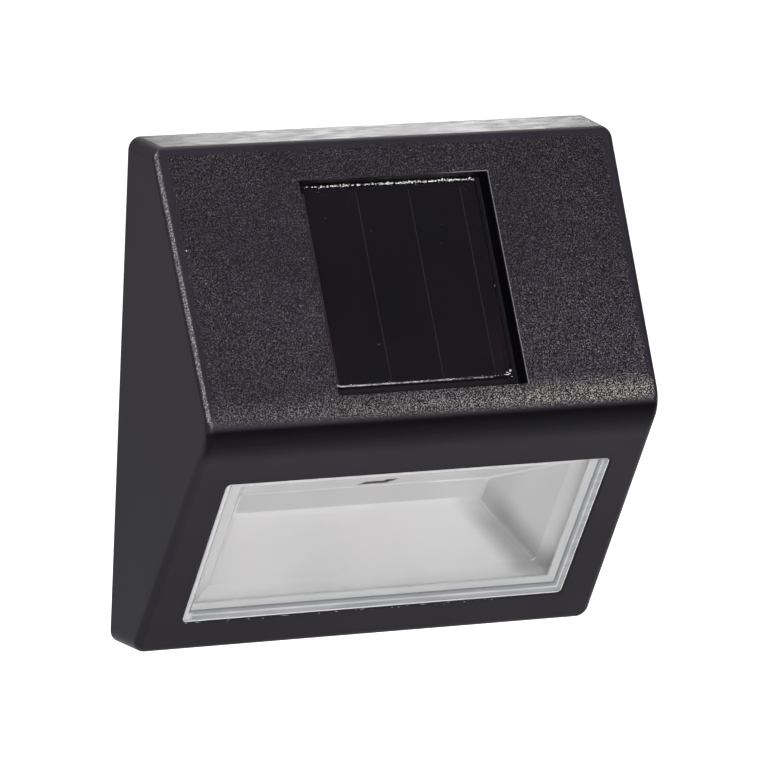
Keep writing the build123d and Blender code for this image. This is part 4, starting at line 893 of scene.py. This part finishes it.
COIL_BODY = Gloss("coil_ferrite", (0.03, 0.03, 0.032), (0.05, 0.05, 0.052), 0.45, 1500)
CAPACITOR = Gloss("capacitor_sleeve", (0.008, 0.012, 0.05), (0.012, 0.02, 0.07), 0.25, 300, (1, 1, 0.2))
FILM = SleeveFilm("cell_sleeve")
RED_WIRE = Gloss("wire_red", (0.42, 0.012, 0.01), (0.34, 0.01, 0.01), 0.38, 900)
BLACK_WIRE = Gloss("wire_black", (0.014, 0.014, 0.015), (0.022, 0.022, 0.023), 0.38, 900)
GREY_WIRE = Gloss("wire_grey", (0.2, 0.2, 0.205), (0.16, 0.16, 0.165), 0.38, 900)
MARK = Gloss("switch_mark", (0.3, 0.3, 0.3), (0.24, 0.24, 0.24), 0.5, 1800)


# ---- shared making ------------------------------------------------------------------------------
def dress(finish: Finish, *nodes: str) -> None:
    """Gives CAD nodes a finish.

    Args:
        finish: The finish.
        nodes: The nodes' names.
    """
    for name in nodes:
        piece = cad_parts[name]
        piece.data.materials.clear()
        piece.data.materials.append(finish.material())
        log.info("dressed %s in %s", name, finish.name)


def stand(name: str, data: bpy.types.ID) -> bpy.types.Object:
    """Puts data into the scene as an object.

    Args:
        name: The object's name.
        data: Its mesh, curve, lamp or camera.

    Returns:
        The object.
    """
    made = bpy.data.objects.new(name, data)
    bpy.context.scene.collection.objects.link(made)
    return made


def evaluated_mesh(piece: bpy.types.Object) -> bpy.types.Mesh:
    """A plain mesh of an object as its modifiers or its curve settings leave it."""
    return bpy.data.meshes.new_from_object(piece.evaluated_get(bpy.context.evaluated_depsgraph_get()))


def settle(name: str, mesh: bpy.types.Mesh, finish: Finish, slot: str, body: str,
           *stands_for: str) -> bpy.types.Object:
    """Makes a finished piece of a mesh.

    Args:
        name: The piece's name.
        mesh: Its mesh, already in place.
        finish: Its finish.
        slot: The record's material slot that the finish is of; not used.
        body: The CAD body that it rides on.
        stands_for: CAD nodes that it replaces.

    Returns:
        The piece.
    """
    piece = stand(name, mesh)
    mesh.materials.clear()
    mesh.materials.append(finish.material())
    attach(piece, body)
    if stands_for:
        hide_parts(*stands_for)
    log.info("made %s, %d faces, on %s", name, len(mesh.polygons), body)
    return piece


class Recipe:
    """A Geometry Nodes tree with named inputs, made into a plain mesh."""

    def __init__(self, name: str, finish: Finish, **sizes: float) -> None:
        """Starts the tree.

        Args:
            name: The tree's name.
            finish: The finish that the tree's Set Material gives.
            sizes: The named inputs and their values.
        """
        self.tree = bpy.data.node_groups.new(name, "GeometryNodeTree")
        self.finish = finish
        self.sizes = sizes
        face = self.tree.interface
        face.new_socket("Geometry", in_out="INPUT", socket_type="NodeSocketGeometry")
        for size in sizes:
            face.new_socket(size, in_out="INPUT", socket_type="NodeSocketFloat")
        face.new_socket("Geometry", in_out="OUTPUT", socket_type="NodeSocketGeometry")
        self.source = self.tree.nodes.new("NodeGroupInput")

    def node(self, kind: str, settings: dict[str, Any] | None = None,
             inputs: dict[Any, Any] | None = None) -> bpy.types.Node:
        """Adds any node.

        Args:
            kind: The node's type.
            settings: Its settings, set first.
            inputs: Values, input names as "=name", sockets or nodes, by socket name or number.

        Returns:
            The node.
        """
        made = self.tree.nodes.new(kind)
        for name, value in (settings or {}).items():
            setattr(made, name, value)
        for name, value in (inputs or {}).items():
            for part in value if isinstance(value, list) else [value]:
                if isinstance(part, str) and part.startswith("="):
                    part = self.source.outputs[part[1:]]
                if isinstance(part, bpy.types.Node):
                    part = next(o for o in part.outputs if o.enabled)
                if isinstance(part, bpy.types.NodeSocket):
                    self.tree.links.new(part, made.inputs[name])
                else:
                    made.inputs[name].default_value = part
        return made

    def share(self, size: str, share: float) -> bpy.types.Node:
        """A share of a named input."""
        return self.node("ShaderNodeMath", {"operation": "MULTIPLY"}, {0: size, 1: share})

    def less(self, first: Any, second: Any) -> bpy.types.Node:
        """The first value less the second, as input names or nodes."""
        return self.node("ShaderNodeMath", {"operation": "SUBTRACT"}, {0: first, 1: second})

    def lifted(self, geometry: bpy.types.Node, height: Any) -> bpy.types.Node:
        """Geometry moved along Z, by an input's name or a node."""
        lift = self.node("ShaderNodeCombineXYZ", inputs={2: height})
        return self.node("GeometryNodeTransform", inputs={0: geometry, "Translation": lift})

    def wound(self, start: Any, end: Any, height: Any, wire: Any, steps: int, sides: int) -> bpy.types.Node:
        """A wire wound up round Z, with as many turns as the input Turns says.

        Args:
            start: The first turn's radius, as an input's name or a node.
            end: The last turn's radius.
            height: How far it climbs.
            wire: The wire's radius.
            steps: The points in a turn.
            sides: The wire's sides.

        Returns:
            The wire's geometry.
        """
        spiral = self.node("GeometryNodeCurveSpiral", inputs={
            "Resolution": steps, "Rotations": "=Turns", "Start Radius": start, "End Radius": end,
            "Height": height})
        ring = self.node("GeometryNodeCurvePrimitiveCircle", inputs={"Resolution": sides, "Radius": wire})
        return self.node("GeometryNodeCurveToMesh", inputs={
            "Curve": spiral, "Profile Curve": ring, "Fill Caps": True})

    def make(self, result: bpy.types.Node, points: tuple[Vector, ...] = (Vector(),)) -> bpy.types.Mesh:
        """Ends the tree and runs it.

        Args:
            result: The node whose geometry is the piece.
            points: The points that the tree's Geometry input holds.

        Returns:
            A plain mesh.
        """
        real = self.node("GeometryNodeRealizeInstances", inputs={0: result})
        dressed = self.node("GeometryNodeSetMaterial", inputs={
            "Geometry": real, "Material": self.finish.material()})
        sink = self.tree.nodes.new("NodeGroupOutput")
        self.tree.links.new(dressed.outputs[0], sink.inputs[0])
        base = bpy.data.meshes.new(self.tree.name)
        base.from_pydata([tuple(p) for p in points], [], [])
        helper = stand(self.tree.name + "_base", base)
        modifier = helper.modifiers.new("recipe", "NODES")
        modifier.node_group = self.tree
        for item in self.tree.interface.items_tree:
            if item.in_out == "INPUT" and item.name in self.sizes:
                modifier[item.identifier] = self.sizes[item.name]
        mesh = evaluated_mesh(helper)
        helper.modifiers.remove(modifier)
        bpy.data.objects.remove(helper)
        return mesh


def clean(work: bmesh.types.BMesh, mesh: bpy.types.Mesh) -> None:
    """Merges doubles, turns the faces outwards and writes the result to a mesh.

    Args:
        work: What to clean, which is freed.
        mesh: The mesh that takes the result.
    """
    bmesh.ops.remove_doubles(work, verts=work.verts, dist=1e-7)
    bmesh.ops.recalc_face_normals(work, faces=work.faces)
    work.to_mesh(mesh)
    work.free()


def smooth(mesh: bpy.types.Mesh, angle: float = 32.0) -> bpy.types.Mesh:
    """Cleans a mesh and shades it smooth, but for edges sharper than an angle.

    Args:
        mesh: The mesh.
        angle: The angle, in degrees.

    Returns:
        The same mesh.
    """
    work = bmesh.new()
    work.from_mesh(mesh)
    clean(work, mesh)
    mesh.shade_smooth()
    mesh.set_sharp_from_angle(angle=math.radians(angle))
    return mesh


@dataclass(frozen=True)
class Screws:
    """A set of like pan-head screws with a cross recess and a rolled thread.

    The shares are of the head's radius or height, or of the shank's radius.
    """

    name: str
    node: str
    body: str
    seats: tuple[Vector, ...]
    outward: Vector
    head_radius: float
    head_height: float
    shank_radius: float
    length: float
    pitch: float = 0.8 * MM
    facets: int = 28
    dome_angles: tuple[float, ...] = (0.15, 0.5, 0.85, 1.2)
    dome_foot: float = 0.45
    dome_rise: float = 0.5
    crown: float = 0.97
    core: float = 0.82
    recess_arm: float = 1.05
    recess_slot: float = 0.24
    recess_depth: float = 1.3
    thread_middle: float = 0.86
    thread_wire: float = 0.13
    thread_start: float = 1.15
    thread_spare: float = 1.25

    def head(self) -> bpy.types.Mesh:
        """One screw's head and shank, without its recess.

        Returns:
            The mesh, standing on Z with its seat at 0.
        """
        dome = [(self.head_radius * math.cos(angle),
                 self.head_height * (self.dome_foot + self.dome_rise * math.sin(angle)))
                for angle in self.dome_angles]
        core = self.shank_radius * self.core
        profile = [(0, -self.length), (core, self.shank_radius - self.length), (core, 0),
                   (self.head_radius, 0), *dome, (0, self.head_height * self.crown)]
        work = bmesh.new()
        line = [work.verts.new((r, 0, z)) for r, z in profile]
        edges = [work.edges.new(pair) for pair in zip(line, line[1:])]
        bmesh.ops.spin(work, geom=line + edges, axis=(0, 0, 1), cent=(0, 0, 0), dvec=(0, 0, 0),
                       angle=2 * math.pi, steps=self.facets, use_merge=True)
        mesh = bpy.data.meshes.new(self.name + "_blank")
        clean(work, mesh)
        return mesh

    def build(self) -> bpy.types.Object:
        """Cuts the recess, winds the thread and sets a screw at each seat, turned by chance.

        Returns:
            The piece, which replaces the set's CAD node.
        """
        recipe = Recipe(
            self.name + "_recipe", SCREW_STEEL, Radius=self.shank_radius, Length=self.length,
            Turns=(self.length - self.shank_radius) / self.pitch, Arm=self.head_radius * self.recess_arm,
            Slot=self.head_radius * self.recess_slot, Depth=self.head_height * self.recess_depth,
            Top=self.head_height)
        blank = stand(self.name + "_blank", self.head())
        head = recipe.node("GeometryNodeObjectInfo", inputs={"Object": blank})
        cutters = []
        for arm, slot in (("=Arm", "=Slot"), ("=Slot", "=Arm")):
            size = recipe.node("ShaderNodeCombineXYZ", inputs={0: arm, 1: slot, 2: "=Depth"})
            cutters.append(recipe.lifted(recipe.node("GeometryNodeMeshCube", inputs={"Size": size}), "=Top"))
        cut = recipe.node("GeometryNodeMeshBoolean", {"operation": "DIFFERENCE", "solver": "EXACT"},
                          {"Mesh 1": head.outputs["Geometry"], "Mesh 2": cutters})
        middle = recipe.share("=Radius", self.thread_middle)
        climb = recipe.less("=Length", recipe.share("=Radius", self.thread_spare))
        thread = recipe.wound(middle, middle, climb, recipe.share("=Radius", self.thread_wire), 14, 4)
        thread = recipe.lifted(thread, recipe.less(recipe.share("=Radius", self.thread_start), "=Length"))
        screw = recipe.node("GeometryNodeJoinGeometry", inputs={0: [cut, thread]})
        aim = recipe.node("FunctionNodeEulerToRotation", inputs={
            0: self.outward.to_track_quat("Z", "Y").to_euler()})
        chance = recipe.node("FunctionNodeRandomValue", {"data_type": "FLOAT"},
                             {"Min": 0.0, "Max": math.pi / 2, "Seed": 7})
        spin = recipe.node("FunctionNodeEulerToRotation", inputs={
            0: recipe.node("ShaderNodeCombineXYZ", inputs={2: chance})})
        turned = recipe.node("FunctionNodeRotateRotation", {"rotation_space": "LOCAL"}, {0: aim, 1: spin})
        placed = recipe.node("GeometryNodeInstanceOnPoints", inputs={
            "Points": "=Geometry", "Instance": screw, "Rotation": turned})
        mesh = recipe.make(placed, self.seats)
        bpy.data.objects.remove(blank)
        return settle(self.name, smooth(mesh), SCREW_STEEL, "screw_steel", self.body, self.node)


# ---- sub-assemblies -----------------------------------------------------------------------------
@dataclass
class Housing:
    """The wedge-shaped front housing."""

    def build(self) -> None:
        """Dresses the shell."""
        dress(HOUSING, "front_housing")


@dataclass
class LightWell:
    """The lens, its seal, the white funnel behind it and the lamp in its ceiling."""

    ear_x: float = 33 * MM
    ear_rise: float = -8.2 * MM
    flange_back: float = 5.6 * MM
    head_radius: float = 2.0 * MM
    head_height: float = 1.3 * MM
    shank_radius: float = 1.0 * MM
    screw_length: float = 4.2 * MM

    def build(self) -> None:
        """Dresses the well and makes its two screws."""
        dress(LENS, "lens")
        dress(FOAM, "lens_seal")
        dress(WELL, "reflector")
        dress(LED_CASE, "led_package")
        dress(PHOSPHOR, "led_phosphor")
        seats = tuple(Slope.LOWER.place(x, self.ear_rise, self.flange_back)
                      for x in (-self.ear_x, self.ear_x))
        Screws("reflector_screws_cut", "reflector_screws", "housing", seats, Slope.LOWER.inward,
               self.head_radius, self.head_height, self.shank_radius, self.screw_length).build()


@dataclass
class SolarPanel:
    """The sunken panel: board, cells, poured resin and the sealant that shows round it."""

    half_width: float = 19.1 * MM
    top: float = 48.6 * MM
    bottom: float = 8.2 * MM
    face_depth: float = 2.9 * MM
    bead_radius: float = 0.16 * MM
    bead_count: int = 210
    corner_beads: int = 9
    clumps: tuple[float, ...] = (-0.72, -0.45, -0.12, 0.05, 0.22, 0.4, 0.6, 0.78)
    clump_spread: float = 0.1
    reach: float = 0.98

    def places(self) -> tuple[Vector, ...]:
        """Where the beads lie: in clumps along the resin's upper edge, and a few in its lower right corner.

        Returns:
            The beads' middles.
        """
        chance = random.Random(11)
        points = []
        for _ in range(self.bead_count):
            x = chance.gauss(chance.choice(self.clumps), self.clump_spread)
            x = self.half_width * max(-self.reach, min(self.reach, x))
            rise = self.top + chance.gauss(-0.05, 0.12) * MM
            depth = self.face_depth + abs(chance.gauss(0.1, 0.25)) * MM
            points.append(Slope.UPPER.place(x, rise, depth))
        for _ in range(self.corner_beads):
            x = self.half_width * self.reach - abs(chance.gauss(0, 0.5)) * MM
            rise = self.bottom + abs(chance.gauss(0.2, 0.7)) * MM
            points.append(Slope.UPPER.place(x, rise, self.face_depth))
        return tuple(points)

    def specks(self) -> bpy.types.Object:
        """Small beads of sealant round the resin, painted pale as glints.

        Returns:
            The beads, one mesh.
        """
        recipe = Recipe("sealant_specks_recipe", SEALANT_GLINTS, Radius=self.bead_radius)
        bead = recipe.node("GeometryNodeMeshIcoSphere", inputs={"Radius": "=Radius", "Subdivisions": 1})
        size = recipe.node("FunctionNodeRandomValue", {"data_type": "FLOAT_VECTOR"},
                           {"Min": (0.35, 0.3, 0.3), "Max": (1.9, 0.9, 1.0), "Seed": 5})
        placed = recipe.node("GeometryNodeInstanceOnPoints", inputs={
            "Points": "=Geometry", "Instance": bead, "Scale": size})
        mesh = recipe.make(placed, self.places())
        return settle("sealant_specks", mesh, SEALANT_GLINTS, "panel_sealant", "housing")

    def build(self) -> None:
        """Dresses the panel and scatters the sealant's specks, painted pale as glints."""
        dress(RESIN, "panel_resin")
        dress(CELLS, "solar_cells")
        dress(LAMINATE, "panel_board")
        dress(SEALANT, "panel_sealant")
        self.specks()


@dataclass
class Electronics:
    """The circuit board over the well, what stands on it and the wires to it."""

    winding_length: float = 4.8 * MM
    winding_radius: float = 1.42 * MM
    strand_radius: float = 0.11 * MM
    turns: int = 20

    def winding(self) -> bpy.types.Object:
        """The coil's enamelled wire, wound round the waist of the ferrite.

        Returns:
            The winding.
        """
        low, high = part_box("inductor")
        recipe = Recipe("coil_winding_recipe", COPPER, Radius=self.winding_radius, Length=self.winding_length,
                        Turns=self.turns, Strand=self.strand_radius)
        wire = recipe.wound("=Radius", "=Radius", "=Length", "=Strand", 18, 6)
        mesh = recipe.make(recipe.lifted(wire, recipe.share("=Length", -0.5)))
        mesh.transform(Matrix.Translation((low + high) / 2) @ Matrix.Rotation(math.pi / 2, 4, "Y"))
        return settle("coil_winding", smooth(mesh, 80), COPPER, "coil_lacquer", "housing")

    def build(self) -> None:
        """Dresses the board and its parts, winds the coil and dresses the wires."""
        dress(BOARD, "circuit_board")
        dress(CHIP, "driver_chip")
        dress(COIL_BODY, "inductor")
        dress(CAPACITOR, "capacitors")
        dress(RED_WIRE, "panel_wire_red", "battery_wire_red")
        dress(BLACK_WIRE, "panel_wire_black", "battery_wire_black")
        dress(GREY_WIRE, "switch_wires")
        self.winding()


@dataclass
class Battery:
    """The cell, its contacts and its spring."""

    wire_radius: float = 0.4 * MM
    base_radius: float = 4.4 * MM
    tip_radius: float = 2.6 * MM
    turns: float = 3.0

    def spring(self) -> bpy.types.Object:
        """The conical spring between the negative plate and the can.

        Returns:
            The spring, which replaces its CAD node.
        """
        low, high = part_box("battery_spring")
        recipe = Recipe("battery_spring_recipe", NICKEL, Base=self.base_radius, Tip=self.tip_radius,
                        Length=high.x - low.x - 2 * self.wire_radius, Turns=self.turns, Wire=self.wire_radius)
        mesh = recipe.make(recipe.wound("=Base", "=Tip", "=Length", "=Wire", 40, 12))
        can_low, can_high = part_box("battery_can")
        centre = (can_low + can_high) / 2
        start = Vector((low.x + self.wire_radius, centre.y, centre.z))
        mesh.transform(Matrix.Translation(start) @ Matrix.Rotation(math.pi / 2, 4, "Y"))
        return settle("battery_spring_round", smooth(mesh, 60), NICKEL, "contact_plate", "housing",
                      "battery_spring")

    def build(self) -> None:
        """Dresses the cell and its contacts, and winds the spring."""
        dress(CAN_STEEL, "battery_can")
        dress(FILM, "battery_sleeve")
        dress(NICKEL, "positive_contact", "negative_contact", "switch_pins")
        self.spring()


@dataclass
class Back:
    """The back cover with its screws, and the battery door with its seal and screws.

    Each set of screws has its head's radius and height, its shank's radius, its length and its pitch.
    """

    boss_place: float = 42.4 * MM
    cover_seat: float = 1.7 * MM
    cover_screw: tuple[float, ...] = (2.4 * MM, 1.4 * MM, 1.25 * MM, 6.2 * MM, 1.0 * MM)
    door_screw_x: float = 33 * MM
    bay_height: float = 12 * MM
    door_seat: float = 1.1 * MM
    door_screw: tuple[float, ...] = (2.0 * MM, 0.9 * MM, 1.0 * MM, 6.0 * MM, 0.8 * MM)

    def build(self) -> None:
        """Dresses the back and makes the two sets of screws."""
        dress(COVER, "back_cover", "battery_door")
        dress(RUBBER, "cover_gasket", "door_seal")
        outward = Vector((0, 1, 0))
        seats = tuple(Vector((x * self.boss_place, -self.cover_seat, z * self.boss_place))
                      for z in (-1, 1) for x in (-1, 1))
        Screws("cover_screws_cut", "cover_screws", "housing", seats, outward, *self.cover_screw).build()
        seats = tuple(Vector((x, -self.door_seat, self.bay_height))
                      for x in (-self.door_screw_x, self.door_screw_x))
        Screws("door_screws_cut", "door_screws", "battery_door", seats, outward, *self.door_screw).build()


@dataclass
class SlideSwitch:
    """The slide switch and the two words beside its knob."""

    mark_height: float = 1.7 * MM
    mark_depth: float = 0.12 * MM
    dish_depth: float = 1.5 * MM
    off_gap: float = 4.551 * MM
    on_gap: float = 5.55 * MM

    def mark(self, words: str, x: float, z: float) -> bpy.types.Object:
        """A moulded word on the dish round the knob.

        Args:
            words: What it says.
            x: Its middle.
            z: Its middle.

        Returns:
            The word.
        """
        name = "switch_" + words.lower()
        curve = bpy.data.curves.new(name, "FONT")
        curve.body = words
        curve.size = self.mark_height
        curve.align_x, curve.align_y = "CENTER", "CENTER"
        curve.extrude = self.mark_depth / 2
        letters = stand("letters", curve)
        mesh = evaluated_mesh(letters)
        bpy.data.objects.remove(letters)
        turn = Matrix.Rotation(math.pi, 4, "Z") @ Matrix.Rotation(math.pi / 2, 4, "X")
        mesh.transform(Matrix.Translation((x, self.mark_depth / 2 - self.dish_depth, z)) @ turn)
        return settle(name, mesh, MARK, "cover_plastic", "housing")

    def build(self) -> None:
        """Dresses the switch and sets its words."""
        dress(TIN, "switch_frame")
        dress(CASE, "switch_body")
        dress(KNOB, "switch_knob")
        low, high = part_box("switch_knob")
        middle = (low + high) / 2
        self.mark("OFF", middle.x - self.off_gap, middle.z)
        self.mark("ON", middle.x + self.on_gap, middle.z)


# ---- studio -------------------------------------------------------------------------------------
@dataclass(frozen=True)
class Lamp:
    """A soft lamp: where it hangs, seen from the fence light, and how strong it is."""

    name: str
    way: Place
    distance: float
    size: tuple[float, float]
    power: float


@dataclass(frozen=True)
class Glow:
    """A soft window in the room that only reflections show, its spread in degrees."""

    way: Place
    spread: float
    strength: float


@dataclass
class Studio:
    """The camera, the floor, the world and the soft lamps."""

    focal_pixels: float = 7429.0
    photo_pixels: float = 768.0
    azimuth: float = -27.04
    elevation: float = 12.53
    roll: float = 2.56
    distance: float = 1.4404
    aim: Place = (-0.0005, -0.015, 0.0018)
    sensor: float = 36.0
    clip: Span = (0.05, 20.0)
    floor_drop: float = 0.115
    floor_reach: float = 4.0
    floor_pale: tuple[Colour, Colour] = ((0.78, 0.78, 0.78), (0.8, 0.8, 0.8))
    floor_mirrored: Colour = (0.05, 0.05, 0.05)
    mirrored_from: Span = (-0.14, -0.26)
    floor_glow: float = 0.85
    ambient: float = 0.34
    reflected_dark: float = 0.1
    lamps: tuple[Lamp, ...] = (
        Lamp("key_above", (0.12, 0.28, 1.0), 0.75, (0.7, 0.5), 2.0),
        Lamp("edge_left", (-0.52, -0.58, 0.62), 0.9, (0.3, 0.3), 1.0),
        Lamp("ridge_right", (0.44, -0.87, 0.23), 1.0, (0.36, 0.12), 2.9),
        Lamp("well_left", (-0.4, -0.88, 0.17), 0.9, (0.5, 0.12), 8.4),
        Lamp("lid_behind", (0.133, 0.27, 0.114), 0.32, (0.1, 0.06), 0.16),
    )
    glows: tuple[Glow, ...] = (
        Glow((0.44, 0.87, 0.22), 48, 0.7),
        Glow((-0.46, 0.87, -0.18), 60, 0.42),
    )

    def camera(self) -> None:
        """Sets the camera where the photograph was taken from."""
        data = bpy.data.cameras.new("camera")
        data.sensor_width = self.sensor
        data.lens = self.focal_pixels / self.photo_pixels * self.sensor
        data.clip_start, data.clip_end = self.clip
        turn, lift, roll = (math.radians(a) for a in (self.azimuth, self.elevation, self.roll))
        back = Vector((math.sin(turn) * math.cos(lift), -math.cos(turn) * math.cos(lift), math.sin(lift)))
        right = (-back).cross(Vector((0, 0, 1))).normalized()
        up = right.cross(-back)
        level = math.cos(roll) * right + math.sin(roll) * up
        upright = math.cos(roll) * up - math.sin(roll) * right
        turned = Matrix((level, upright, back)).transposed()
        camera = stand("camera", data)
        camera.matrix_world = Matrix.Translation(Vector(self.aim) + back * self.distance) @ turned.to_4x4()
        bpy.context.scene.camera = camera

    def lamp(self, lamp: Lamp) -> None:
        """Hangs a soft lamp, aimed at the middle of the fence light.

        Args:
            lamp: The lamp.
        """
        data = bpy.data.lights.new(lamp.name, "AREA")
        data.shape = "RECTANGLE"
        data.size, data.size_y = lamp.size
        data.energy = lamp.power
        way = Vector(lamp.way).normalized()
        hung = stand(lamp.name, data)
        hung.location = Vector(self.aim) + way * lamp.distance
        hung.rotation_euler = way.to_track_quat("Z", "Y").to_euler()
        hung.visible_camera = False

    def floor(self) -> None:
        """A plain pale floor that keeps the light's shadow, white to the camera, dark in near reflections."""
        mesh = bpy.data.meshes.new("floor")
        corners = ((-1, -1), (1, -1), (1, 1), (-1, 1))
        mesh.from_pydata([(x * self.floor_reach, y * self.floor_reach, -self.floor_drop) for x, y in corners],
                         [], [(0, 1, 2, 3)])
        material = bpy.data.materials.new("floor_white")
        shader = Shader(material)
        white = shader.mix(shader.noise(3, 1.0), *self.floor_pale)
        paper = shader.surface(Base_Color=white, Roughness=0.9, Specular_IOR_Level=0.0)
        glow = shader.node("ShaderNodeEmission", inputs={
            "Color": (1, 1, 1, 1), "Strength": shader.ray("Camera") * self.floor_glow})
        _, y, _ = shader.axes(shader.coordinates())
        shade = shader.node("ShaderNodeBsdfDiffuse", inputs={"Color": (*self.floor_mirrored, 1)})
        paper = shader.node("ShaderNodeMixShader", inputs={
            0: shader.ray("Glossy") * y.ramp(*self.mirrored_from), 1: paper, 2: shade})
        shader.finish(shader.node("ShaderNodeAddShader", inputs={0: paper, 1: glow}))
        mesh.materials.append(material)
        stand("floor", mesh)

    def world(self) -> None:
        """White to the camera, even and dim for lighting, with soft windows in reflections."""
        world = bpy.data.worlds.new("room")
        bpy.context.scene.world = world
        shader = Shader(world)
        way = shader.node("ShaderNodeTexCoord", output="Generated")
        room: Flow | float = self.reflected_dark
        for glow in self.glows:
            spread = math.cos(math.radians(glow.spread))
            room = shader.dot(way, Vector(glow.way).normalized()).ramp(spread, 1.0) * glow.strength + room
        mirrored = (shader.ray("Glossy") + shader.ray("Transmission")).least(1.0)
        plain = shader.mix(mirrored, (self.ambient,) * 3,
                           shader.node("ShaderNodeCombineColor", inputs={0: room, 1: room, 2: room}))
        colour = shader.mix(shader.ray("Camera"), plain, (1, 1, 1))
        shader.finish(shader.node("ShaderNodeBackground", inputs={"Color": colour, "Strength": 1.0}))

    def build(self) -> None:
        """Sets up the studio."""
        self.camera()
        self.floor()
        self.world()
        for lamp in self.lamps:
            self.lamp(lamp)
        bpy.context.scene.view_settings.view_transform = "Standard"
        log.info("studio is set")


def main() -> None:
    """Builds the studio and every sub-assembly, and notes the sizes."""
    logging.basicConfig(level=logging.INFO, format="%(name)s: %(message)s")
    Studio().build()
    for part in (Housing(), LightWell(), SolarPanel(), Electronics(), Battery(), Back(), SlideSwitch()):
        part.build()
        log.info("finished %s", type(part).__name__)


if __name__ == "__main__":
    main()
